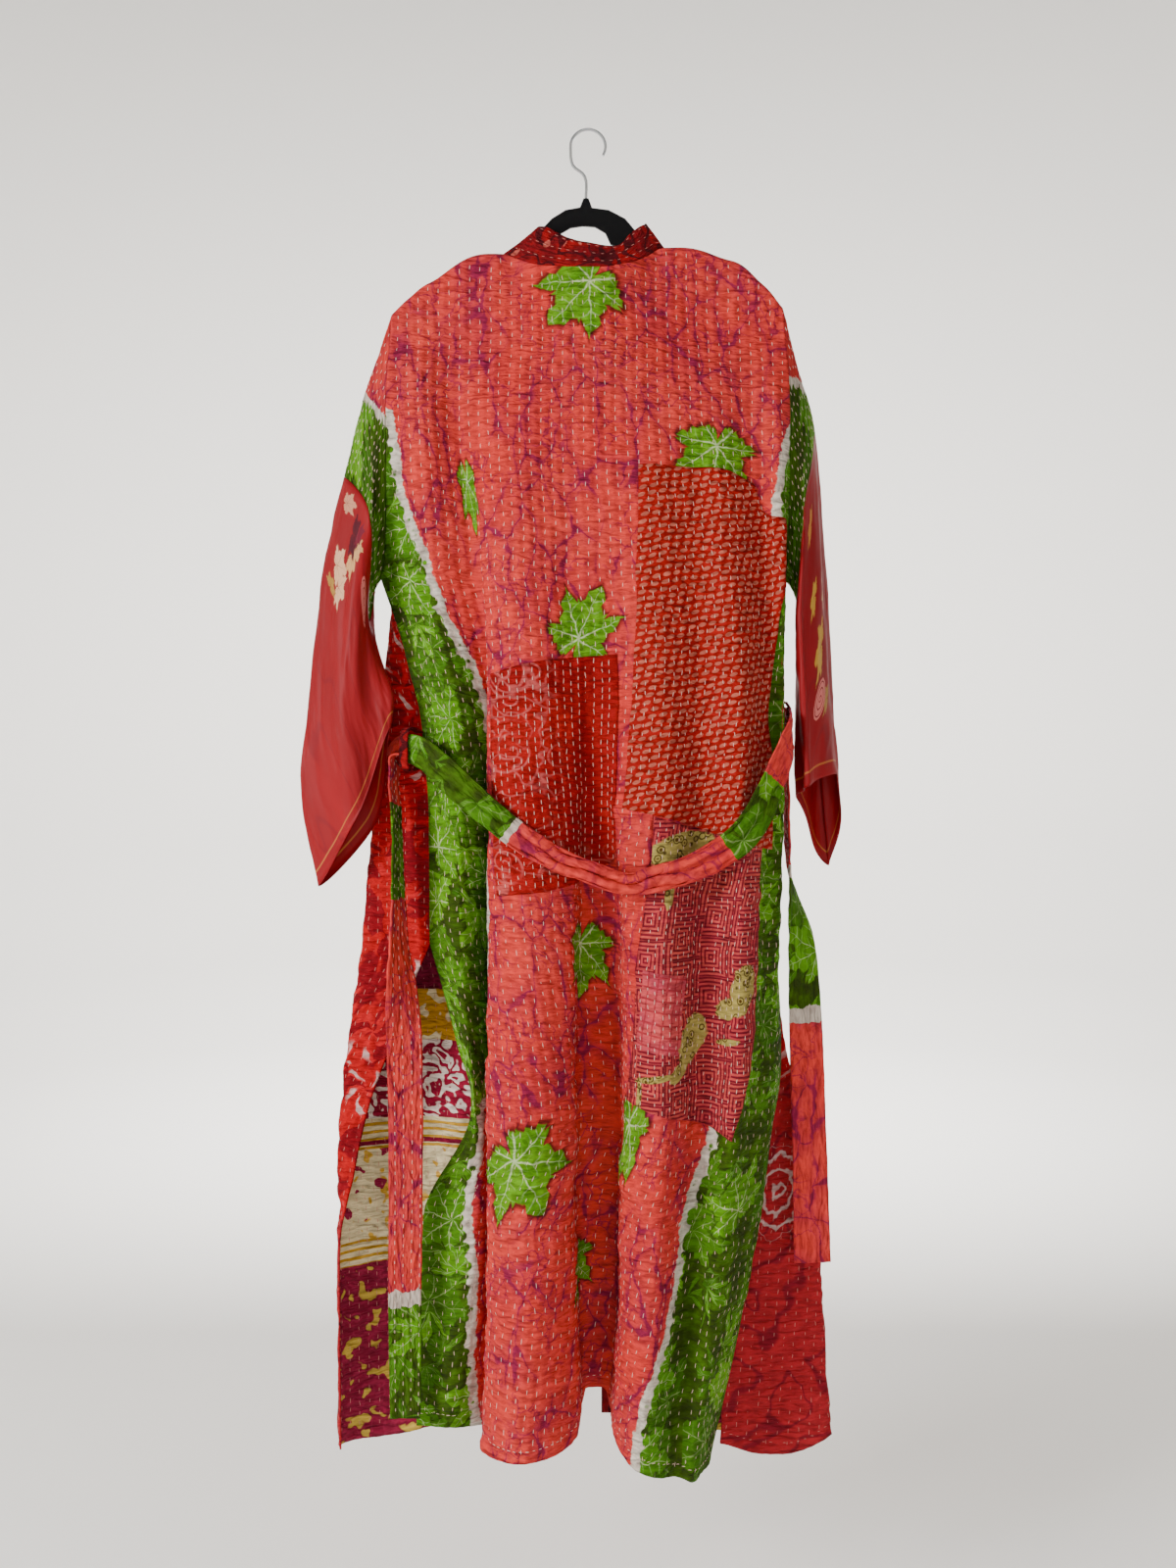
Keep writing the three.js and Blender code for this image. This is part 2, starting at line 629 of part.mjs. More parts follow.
// Whole sleeve as one grid of rings, the armhole line first
function sleeveGrid(side) {
  const line = armholeLine(side);
  const lengths = [0];
  line.forEach((item, k) => {
    const after = line[(k + 1) % line.length];
    lengths.push(lengths[k] + item.point.distanceTo(after.point));
  });
  const around = lengths.pop();
  const half = line.findIndex((item) => item.stop && item.stop.j === armholeRow);
  const rings = sleeveRings[side].map((ring) => {
    const points = [ring.top, ring.back, ring.under, ring.front].map((p) => vec(...p));
    return new THREE.CatmullRomCurve3(points, true, "centripetal");
  });
  const folds = sleeveFolds[side];
  const lines = line.map((item, k) => {
    const share = k <= half ? (0.5 * lengths[k]) / lengths[half]
      : 0.5 + (0.5 * (lengths[k] - lengths[half])) / (around - lengths[half]);
    const points = rings.map((ring, r) => {
      const point = ring.getPoint(share);
      const tangent = ring.getTangent(share);
      const outward = vec(tangent.y, -tangent.x, 0).normalize();
      const deep = folds.deep * Math.min(1, r / 3);
      return point.addScaledVector(outward, deep * Math.sin(2 * Math.PI * folds.count * share + r * 0.5));
    });
    return new THREE.CatmullRomCurve3([item.point, ...points], false, "catmullrom", 0.5);
  });
  const grid = (from, to, count, slip) => {
    const rows = [];
    for (let j = 0; j <= count; j += 1) {
      const at = from + ((to - from) * j) / count;
      rows.push(lines.map((curve) => curve.getPoint(Math.min(1, at))));
    }
    if (slip) {
      const first = rows[0].map((point) => point.clone());
      const n = first.length;
      rows[0].forEach((point, i) => {
        const along = first[(i + 1) % n].clone().sub(first[(i + n - 1) % n]).normalize();
        const way = rows[1][i].clone().sub(first[i]);
        way.addScaledVector(along, -way.dot(along)).normalize();
        point.addScaledVector(way, slip);
      });
    }
    const made = { rows, turn: 1, facing: side === "left" ? -1 : 1 };
    findOuts(made, true);
    return made;
  };
  const cap = grid(0, capShare, capRows, seamGap);
  const end = grid(capShare, 1, endRows, 4.5 * seamGap);
  return { cap, end, line };
}

const sleeves = { left: sleeveGrid("left"), right: sleeveGrid("right") };

// Sewing: both sides of a seam share one direction out of the cloth
for (const side of ["left", "right"]) {
  const { cap, end, line } = sleeves[side];
  const backEdge = side === "left" ? 0 : backColumns;
  const backInner = side === "left" ? 1 : backColumns - 1;
  line.forEach((item, k) => {
    if (!item.stop) return;
    sew(item.stop, { grid: cap, j: 0, i: k, to: [1, k] });
  });
  line.forEach((item, k) => {
    if (item.stop) return;
    const before = cap.outs[0][k - 1];
    const after = cap.outs[0][(k + 1) % line.length];
    cap.outs[0][k] = before.clone().add(after).multiplyScalar(0.5);
  });
  for (let j = armholeRow; j <= slitRow; j += 1) {
    sew({ grid: back, j, i: backEdge, to: [j, backInner] }, { grid: fronts[side], j, i: 0, to: [j, 1] });
  }
  joinRings(cap, end);
}

// Neck band: a station at each front row and at each back column inside the neck
function bandStations() {
  const stations = [];
  const bandValue = (key, z) => smoothValue(column(bandPlaces, "z"), column(bandPlaces, key), z);
  const collarValue = (key, x) => smoothValue(column(collarPlaces, "x"), column(collarPlaces, key), x);
  const frontStation = (side, j) => {
    const front = fronts[side];
    const seam = front.rows[j][frontColumns];
    const way = side === "left" ? 1 : -1;
    const over = j === 0 && side === "right" ? 22 : bandValue("over", seam.z);
    const edge = vec(seam.x + way * over, seam.y + bandValue("out", seam.z), seam.z + bandValue("up", seam.z));
    return { seam: seam.clone(), edge, panel: front, j, i: frontColumns };
  };
  const count = fronts.left.rows.length - 1;
  for (let j = count; j >= 0; j -= 1) stations.push(frontStation("left", j));
  back.rows[0].forEach((seam, i) => {
    if (i <= backPlan.leftColumn || i >= backPlan.rightColumn) return;
    const edge = vec(seam.x + collarValue("over", seam.x), collarValue("y", seam.x), collarValue("z", seam.x));
    stations.push({ seam: seam.clone(), edge, panel: back, j: 0, i });
  });
  for (let j = 0; j <= count; j += 1) stations.push(frontStation("right", j));
  return stations;
}

const stations = bandStations();
const bandColumns = 3;
const bandRows = [];
for (let k = 0; k <= bandColumns; k += 1) {
  bandRows.push(
    stations.map(({ seam, edge }) => {
      const way = edge.clone().sub(seam).normalize();
      return seam.clone().addScaledVector(way, 2 * seamGap).lerp(edge, k / bandColumns);
    }),
  );
}
const band = { rows: bandRows, turn: 1, facing: 1 };
findOuts(band);
stations.forEach((station, k) => {
  const to = station.panel === back ? [1, station.i] : [station.j, frontColumns - 1];
  sew({ grid: station.panel, j: station.j, i: station.i, to }, { grid: band, j: 0, i: k, to: [1, k] });
});

// Panels step back from their seams by the seam gap
function stepBack(grid, i, inner, rowsFrom, rowsTo) {
  for (let j = rowsFrom; j <= rowsTo; j += 1) {
    const way = grid.rows[j][inner].clone().sub(grid.rows[j][i]).normalize();
    grid.rows[j][i].addScaledVector(way, seamGap);
  }
}
stepBack(back, 0, 1, 0, slitRow);
stepBack(back, backColumns, backColumns - 1, 0, slitRow);
stepBack(fronts.left, 0, 1, 0, slitRow);
stepBack(fronts.right, 0, 1, 0, slitRow);

const robe = new THREE.Group();
robe.add(wallMesh("back", back, quiltWall, "coral", { raise: quiltRaise, fine: slitRow }));
robe.add(wallMesh("front_left", fronts.left, quiltWall, "coral", { raise: quiltRaise, fine: slitRow }));
robe.add(wallMesh("front_right", fronts.right, quiltWall, "coral", { raise: quiltRaise, fine: slitRow }));
robe.add(wallMesh("neck_band", band, quiltWall, "deepRed", { fine: 0 }));
for (const side of ["left", "right"]) {
  const { cap, end } = sleeves[side];
  robe.add(wallMesh(`sleeve_cap_${side}`, cap, quiltWall, "green", { wrap: true, raise: quiltRaise }));
  robe.add(wallMesh(`sleeve_end_${side}`, end, silkWall, "silk", { wrap: true, fine: 99 }));
}

// Patches: points of the back's grid moved out, over its raised channels
function nearestColumn(row, x) {
  let best = 0;
  row.forEach((point, i) => {
    if (Math.abs(point.x - x) < Math.abs(row[best].x - x)) best = i;
  });
  return best;
}
function drawIn(rows) {
  const pull = (point, towards) => point.addScaledVector(towards.clone().sub(point).normalize(), seamGap);
  const last = rows.length - 1;
  const end = rows[0].length - 1;
  rows[0].forEach((point, i) => pull(point, rows[1][i]));
  rows[last].forEach((point, i) => pull(point, rows[last - 1][i]));
  for (const row of rows) {
    pull(row[0], row[1]);
    pull(row[end], row[end - 1]);
  }
}
const rowAt = (z) => back.rows.findIndex((row) => row[Math.round(backColumns / 2)].z <= z + 1);
for (const patch of patches) {
  const from = rowAt(patch.top);
  const to = rowAt(patch.bottom);
  const middle = Math.round((from + to) / 2);
  const left = nearestColumn(back.rows[middle], patch.left);
  const right = nearestColumn(back.rows[middle], patch.right);
  const rows = [];
  const outs = [];
  for (let j = from; j <= to; j += 1) {
    const row = back.rows[j].slice(left, right + 1);
    const out = back.outs[j].slice(left, right + 1);
    rows.push(row.map((point, i) => point.clone().addScaledVector(out[i], quiltRaise * ((left + i) % 2))));
    outs.push(out);
  }
  drawIn(rows);
  const grid = { rows, outs };
  robe.add(wallMesh(patch.name, grid, patchWall, patch.colour, { lift: laidGap + patchWall, fine: 99 }));
}

// Flat strip swept through middle points
function strip(name, middles, acrosses, widths, thick, colour) {
  const count = middles.length;
  const rows = [[], [], []];
  middles.forEach((middle, k) => {
    const before = middles[Math.max(0, k - 1)];
    const after = middles[Math.min(count - 1, k + 1)];
    const along = after.clone().sub(before).normalize();
    const across = acrosses[k].clone().addScaledVector(along, -acrosses[k].dot(along)).normalize();
    rows.forEach((row, r) => row.push(middle.clone().addScaledVector(across, (r - 1) * 0.5 * widths[k])));
  });
  const grid = { rows, turn: 1, facing: 1 };
  findOuts(grid);
  return wallMesh(name, grid, thick, colour, { lift: thick / 2, fine: 99 });
}

const beltLine = new THREE.CatmullRomCurve3(beltPlaces.map((p) => vec(p.x, p.y, p.z)), false, "centripetal");
const beltAcross = new THREE.CatmullRomCurve3(beltPlaces.map((p) => vec(...p.across)), false, "catmullrom", 0.4);
const beltMiddles = [];
const beltAcrosses = [];
const beltWidths = [];
for (let k = 0; k <= beltRows; k += 1) {
  const at = (k / beltRows) * (beltPlaces.length - 1);
  const low = Math.min(Math.floor(at), beltPlaces.length - 2);
  beltMiddles.push(beltLine.getPoint(k / beltRows));
  beltAcrosses.push(beltAcross.getPoint(k / beltRows));
  beltWidths.push(THREE.MathUtils.lerp(beltPlaces[low].wide, beltPlaces[low + 1].wide, at - low));
}
robe.add(strip("belt", beltMiddles, beltAcrosses, beltWidths, beltThick, "coral"));

for (const loop of loops) {
  const half = loop.tall / 2;
  const outline = [
    [0, half - 4],
    [loop.stand * 0.5, half],
    [loop.stand - 4, half - 1],
    [loop.stand, half - 8],
    [loop.stand + 1, 0],
    [loop.stand, 8 - half],
    [loop.stand - 4, 1 - half],
    [loop.stand * 0.5, -half],
    [0, 4 - half],
  ];
  const [outX, outY] = loop.out;
  const middles = outline.map(([r, z]) => vec(loop.x + r * outX, loop.y + r * outY, loop.z + z));
  const curve = new THREE.CatmullRomCurve3(middles, false, "centripetal");
  const points = curve.getPoints(14);
  const across = vec(-outY, outX, 0);
  robe.add(strip(loop.name, points, points.map(() => across), points.map(() => loopWide), loopThick, "coral"));
}

// Hanger: one flat outline under the shoulders, up through the neck in an arch
function shoulderLine(from, to, below) {
  const line = [];
  const steps = 7;
  for (let k = 0; k <= steps; k += 1) {
    const x = from + ((to - from) * k) / steps;
    const slope = (ridgeAt(x + 2, "z") - ridgeAt(x - 2, "z")) / 4;
    const long = Math.hypot(1, slope);
    line.push([x + (slope / long) * below, ridgeAt(x, "z") - below / long]);
  }
  return line;
}
const underCloth = quiltWall + 1;
const outline = [
  ...shoulderLine(-212, -112, underCloth),
  [-94, -154],
  ...archOuter.slice(0, 3),
  [hangerNeck.x - hangerNeck.base, -89],
  [hangerNeck.x - hangerNeck.tip, hangerNeck.z],
  [hangerNeck.x + hangerNeck.tip, hangerNeck.z],
  [hangerNeck.x + hangerNeck.base, -89.5],
  ...archOuter.slice(4),
  [84, -147],
  ...shoulderLine(100, 208, underCloth),
  ...shoulderLine(208, 92, underCloth + hangerDeep),
  ...archInner,
  ...shoulderLine(-103, -212, underCloth + hangerDeep),
];
const flat = new THREE.Shape(outline.map(([x, z]) => new THREE.Vector2(x, z)));
const hanger = new THREE.ExtrudeGeometry(flat, {
  depth: hangerThick - 2 * hangerEdge,
  bevelThickness: hangerEdge,
  bevelSize: hangerEdge,
  bevelOffset: -hangerEdge,
  bevelSegments: 1,
  curveSegments: 1,
});
hanger.rotateX(Math.PI / 2);
hanger.translate(0, hangerThick / 2 - hangerEdge, 0);
robe.add(finish("hanger", hanger, "flock"));

// Hook: round wire from the hanger's neck up and over
const hookPoints = hookPlaces.map(([x, z]) => vec(x, 0, z));
for (let k = 0; k <= hookTurn.steps; k += 1) {
  const angle = THREE.MathUtils.degToRad(hookTurn.from + ((hookTurn.to - hookTurn.from) * k) / hookTurn.steps);
  const [x, z] = hookTurn.centre;
  hookPoints.push(vec(x + hookRadius * Math.cos(angle), 0, z + hookRadius * Math.sin(angle)));
}
const wireRound = new THREE.Shape();
wireRound.absarc(0, 0, wireRadius, 0, 2 * Math.PI, false);
const hook = new THREE.ExtrudeGeometry(wireRound, {
  steps: 28,
  bevelEnabled: false,
  curveSegments: 5,
  extrudePath: new THREE.CatmullRomCurve3(hookPoints, false, "centripetal"),
});
robe.add(finish("hanger_hook", hook, "steel"));

export default robe;
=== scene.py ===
"""Looks of the quilted kimono robe: the cloth is drawn again, finer, on the same folds as the solids."""

import math

import bmesh
import bpy
import numpy as np
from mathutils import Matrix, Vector


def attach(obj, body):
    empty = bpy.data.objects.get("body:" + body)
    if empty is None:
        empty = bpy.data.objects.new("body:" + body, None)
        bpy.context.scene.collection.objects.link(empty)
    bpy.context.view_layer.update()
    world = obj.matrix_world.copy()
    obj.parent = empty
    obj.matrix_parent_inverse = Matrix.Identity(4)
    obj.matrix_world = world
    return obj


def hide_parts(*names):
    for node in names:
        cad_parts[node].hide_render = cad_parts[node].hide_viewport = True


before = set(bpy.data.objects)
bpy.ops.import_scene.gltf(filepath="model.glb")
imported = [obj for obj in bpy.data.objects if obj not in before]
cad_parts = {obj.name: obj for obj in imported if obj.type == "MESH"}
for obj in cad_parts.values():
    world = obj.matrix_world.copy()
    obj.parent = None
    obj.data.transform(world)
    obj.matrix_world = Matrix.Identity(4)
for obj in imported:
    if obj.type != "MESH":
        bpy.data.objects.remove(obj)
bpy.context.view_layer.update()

SIDES = ("left", "right")

# Sizes and folds of the robe, in millimetres, as in the solids: first the heights of the underarm and of
# the top of the slits, and how far the cloth rolls over the hanger
UNDERARM = -520
SLIT = -935
ROLL = 10.0
# Thickness of each cloth, width of the belt loops and gap between a sleeve's cap and its end
QUILT_THICK = 2.2
SILK_THICK = 1.1
PATCH_THICK = 0.9
LOOP_THICK = 1.6
LOOP_WIDTH = 12.0
SEAM_GAP = 0.9
# Half a thread's thickness, its height over the cloth and the distance between rows of stitches
THREAD_THICK = 0.34
THREAD_LIFT = 0.1
ROW_PITCH = 12.0
# Steps of the table of points that each panel keeps: in height, and over its width
LEVEL_STEP = 4.0
SHARE_STEPS = 600

# The ridge over the hanger: x, height and how far the cloth lies from the middle plane
RIDGE = {
    "x": [-226, -205, -180, -101, -76, -50, 0, 44, 68, 90, 158, 200, 224],
    "z": [-213, -193, -175, -143, -156, -166, -172, -164, -151, -136, -149, -177, -205],
    "y": [0, 0, 0, 0, -14, -25, -35, -26, -14, 0, 0, 0, 0],
}
# Ends of the neck opening
NECK = (-101, 90)

# Side edges: height, x, then the depth on the back and on the front
ARMHOLE = {
    "left": ([-213, -300, -380, -460, -520], [-226, -228, -227, -229, -238],
             [0, -30, -38, -28, -6], [0, 24, 30, 20, -6]),
    "right": ([-205, -300, -380, -460, -520], [224, 228, 227, 227, 226],
              [0, -28, -38, -28, -6], [0, 24, 30, 20, -6]),
}
# Side seams and the edges of the slits: height, x and depth
SEAM = {
    "left": ([-520, -620, -720, -820, -935], [-238, -206, -187, -181, -180], [-6, -14, -19, -22, -24]),
    "right": ([-520, -620, -720, -935], [226, 220, 216, 213], [-6, -14, -18, -18]),
}
SLIT_BACK = {
    "left": ([-935, -1054, -1120, -1243, -1500], [-180, -147, -132, -186, -195], [-24, -30, -32, -28, -26]),
    "right": ([-935, -1056, -1146, -1313, -1520], [213, 220, 210, 184, 140], [-18, -20, -20, -20, -20]),
}
SLIT_FRONT = {
    "left": ([-935, -1046, -1205, -1318, -1520], [-180, -224, -270, -287, -286], [-24, -15, -9, -9, -6]),
    "right": ([-935, -1060, -1200, -1350, -1520], [213, 204, 180, 165, 153], [-18, -10, -4, -2, 0]),
}

# Each crest and groove from left to right: its x and its depth at these heights
HEIGHTS = [-240, -380, -520, -720, -940, -1200, -1500]
BACK_FOLDS = [
    ([-193, -181, -177, -145, -141, -124, -162], [-14, -52, -50, -58, -58, -48, -45]),
    ([-163, -143, -124, -107, -108, -102, -115], [-14, -36, -38, -30, -22, -20, -25]),
    ([-140, -128, -117, -114, -113, -112, -118], [-16, -44, -48, -52, -62, -70, -75]),
    ([-100, -87, -75, -64, -63, -65, -65], [-22, -58, -70, -82, -92, -102, -110]),
    ([-44, -22, -16, -13, -17, -17, -9], [-32, -56, -60, -66, -70, -70, -70]),
    ([-10, -4, -2, -2, -6, -8, -3], [-36, -59, -62, -55, -32, -20, -16]),
    ([16, 16, 16, 18, 31, 29, 18], [-36, -60, -62, -56, -32, -20, -16]),
    ([44, 35, 32, 30, 43, 39, 26], [-32, -60, -64, -68, -70, -75, -80]),
    ([76, 74, 75, 81, 82, 75, 57], [-24, -62, -74, -86, -96, -104, -110]),
    ([112, 115, 123, 127, 130, 121, 97], [-18, -56, -62, -66, -62, -66, -84]),
    ([146, 150, 159, 166, 166, 148, 113], [-14, -55, -68, -84, -92, -94, -85]),
    ([176, 188, 200, 203, 194, 176, 128], [-12, -40, -42, -46, -62, -66, -60]),
    ([202, 213, 217, 220, 216, 198, 137], [-10, -50, -52, -50, -44, -42, -40]),
]
FRONT_FOLDS = {
    "left": [
        ([-206, -212, -226, -248, -264, -291, -292], [12, 34, 18, 10, 8, 4, 4]),
        ([-185, -190, -204, -228, -240, -264, -264], [14, 38, 34, 34, 34, 26, 26]),
        ([-160, -160, -165, -180, -185, -200, -200], [15, 38, 44, 48, 50, 44, 40]),
        ([-135, -130, -130, -132, -134, -138, -140], [15, 32, 34, 34, 36, 30, 28]),
        ([-115, -108, -105, -104, -102, -100, -100], [15, 36, 42, 46, 48, 46, 44]),
        ([-99, -90, -83, -78, -76, -76, -76], [14, 30, 34, 36, 36, 36, 36]),
    ],
    "right": [
        ([204, 212, 222, 221, 217, 262, 284], [12, 34, 16, 2, 2, 10, 12]),
        ([182, 188, 198, 206, 202, 240, 264], [14, 38, 34, 30, 28, 34, 34]),
        ([156, 158, 165, 172, 170, 190, 205], [15, 38, 44, 48, 50, 48, 46]),
        ([132, 128, 130, 132, 134, 138, 142], [15, 32, 34, 36, 36, 32, 30]),
        ([106, 104, 104, 104, 102, 100, 100], [15, 36, 42, 46, 48, 46, 44]),
        ([89, 84, 80, 78, 76, 76, 76], [14, 30, 34, 36, 36, 36, 36]),
    ],
}
# Neck band down the fronts and its collar: heights, then how far its free edge lies over, out and up
BAND = {"z": [-143, -170, -240, -400, -650, -1520], "over": [39, 44, 52, 58, 60, 60],
        "out": [3, 6, 6, 4, 2, 0], "up": [31, 27, 16, 6, 0, 0]}
COLLAR = {"x": [-101, -88, -60, -30, 0, 30, 58, 80, 90], "over": [40, 33, 24, 10, 2, -2, -10, -18, -22],
          "y": [4, -6, -11, -15, -18, -16, -11, -6, 4],
          "z": [-112, -113, -122, -131, -137, -140, -124, -112, -108]}
# Hems: x and height
BACK_HEM = ([-200, -159, -118, -62, -9, -2, 18, 26, 62, 100, 145],
            [-1484, -1476, -1483, -1479, -1472, -1446, -1446, -1472, -1492, -1508, -1523])
FRONT_HEM = {
    "left": ([-300, -240, -150, -76], [-1520, -1524, -1506, -1496]),
    "right": ([76, 153, 220, 285], [-1500, -1518, -1533, -1512]),
}
# Sleeves: rings from the armhole to the cuff, by their top, back, underside and front
RINGS = {
    "left": [
        [(-258, 0, -302), (-238, -44, -402), (-247, -8, -538), (-242, 34, -402)],
        [(-281, 0, -400), (-244, -48, -452), (-250, -18, -568), (-249, 26, -452)],
        [(-304, -6, -517), (-260, -52, -540), (-240, -28, -606), (-260, 6, -538)],
        [(-317, -12, -664), (-270, -52, -660), (-223, -40, -652), (-272, -14, -660)],
        [(-327, -14, -766), (-262, -50, -728), (-222, -41, -676), (-262, -16, -740)],
        [(-307, -16, -872), (-258, -44, -792), (-222, -41, -690), (-246, -18, -806)],
    ],
    "right": [
        [(246, 2, -280), (238, -40, -400), (237, -2, -536), (246, 40, -385)],
        [(264, 5, -348), (243, -42, -446), (242, 0, -556), (261, 46, -420)],
        [(277, 8, -515), (240, -45, -548), (241, 2, -600), (272, 48, -530)],
        [(284, 6, -640), (243, -46, -650), (242, 2, -664), (276, 50, -680)],
        [(288, 4, -700), (246, -45, -708), (243, 2, -720), (282, 48, -775)],
        [(291, 2, -746), (247, -42, -758), (243, 0, -772), (287, 46, -852)],
    ],
}
# Waves round each sleeve and their depth
SLEEVE_FOLDS = {"left": (4, 2.5), "right": (5, 3.0)}
# How far the relief is sunk, so that its crests hardly stand past the solids
RELIEF_SINK = 1.4
# Points round a sleeve and along it from ring to ring
SLEEVE_AROUND, SLEEVE_ALONG = ((160, 10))
# Belt points from one place of its list to the next, and rows of the neck band from seam to free edge
BELT_ALONG = 14
BAND_ROWS = 12


def smooth(places, values, at):
    """Smooth value through numbers at changing places, level beyond both ends."""
    p = np.asarray(places, float)
    v = np.asarray(values, float)
    if p[-1] < p[0]:
        p, v = p[::-1], v[::-1]
    step = np.diff(p)
    rise = np.diff(v) / step
    slope = np.empty(len(p))
    slope[0], slope[-1] = rise[0], rise[-1]
    a, b = rise[:-1], rise[1:]
    slope[1:-1] = np.where(a * b > 0, 2 * a * b / np.where(a + b == 0, 1, a + b), 0)
    at = np.clip(np.asarray(at, float), p[0], p[-1])
    i = np.clip(np.searchsorted(p, at, side="right") - 1, 0, len(p) - 2)
    span = step[i]
    t = (at - p[i]) / span
    first = v[i] + slope[i] * t * span
    second = v[i + 1] - slope[i + 1] * (1 - t) * span
    ease = t * t * (3 - 2 * t)
    return first * (1 - ease) + second * ease


def curve_through(points, closed=False, per=24, power=0.5):
    """Points (..., n, d) joined by a centripetal curve; gives (..., m, d)."""
    p = np.asarray(points, float)
    if closed:
        p = np.concatenate([p[..., -1:, :], p, p[..., :2, :]], axis=-2)
    else:
        head = 2 * p[..., :1, :] - p[..., 1:2, :]
        tail = 2 * p[..., -1:, :] - p[..., -2:-1, :]
        p = np.concatenate([head, p, tail], axis=-2)
    gap = np.linalg.norm(np.diff(p, axis=-2), axis=-1, keepdims=True) ** power
    gap = np.maximum(gap, 1e-4)
    p0, p1, p2, p3 = (p[..., k:p.shape[-2] - 3 + k, :] for k in range(4))
    d0, d1, d2 = (gap[..., k:gap.shape[-2] - 2 + k, :] for k in range(3))
    m1 = ((p1 - p0) / d0 - (p2 - p0) / (d0 + d1) + (p2 - p1) / d1) * d1
    m2 = ((p2 - p1) / d1 - (p3 - p1) / (d1 + d2) + (p3 - p2) / d2) * d1
    t = (np.arange(per) / per)[:, None]
    parts = []
    for k in range(p1.shape[-2]):
        a, b = p1[..., k:k + 1, :], p2[..., k:k + 1, :]
        ma, mb = m1[..., k:k + 1, :], m2[..., k:k + 1, :]
        parts.append(a + ma * t + (3 * (b - a) - 2 * ma - mb) * t ** 2 + (2 * (a - b) + ma + mb) * t ** 3)
    out = np.concatenate(parts, axis=-2)
    return out if closed else np.concatenate([out, p[..., -2:-1, :]], axis=-2)


def normalised(v):
    return v / np.maximum(np.linalg.norm(v, axis=-1, keepdims=True), 1e-9)


def reach(points):
    """Distance from the start of each line of points; a line runs along the last axis but one."""
    step = np.linalg.norm(np.diff(points, axis=-2), axis=-1)
    return np.concatenate([np.zeros(step.shape[:-1] + (1,)), np.cumsum(step, -1)], -1)


def along_line(spots, far, line):
    """Values of a line of points at these distances from its start."""
    return np.stack([np.interp(spots, far, values) for values in line.T], -1)


def side_edge(side, panel, z):
    """Side edge of the back or a front at these heights: x and depth."""
    arm, seam = ARMHOLE[side], SEAM[side]
    slit = (SLIT_BACK if panel == "back" else SLIT_FRONT)[side]
    depth = arm[2] if panel == "back" else arm[3]
    x = np.where(z < SLIT, smooth(slit[0], slit[1], z),
                 np.where(z < UNDERARM, smooth(seam[0], seam[1], z), smooth(arm[0], arm[1], z)))
    y = np.where(z < SLIT, smooth(slit[0], slit[2], z),
                 np.where(z < UNDERARM, smooth(seam[0], seam[2], z), smooth(arm[0], depth, z)))
    return np.stack([x, y], -1)


SHARES = np.linspace(0, 1, SHARE_STEPS + 1)
# Random seed of each panel's relief
SEEDS = {"back": 101, "left": 131, "right": 151}


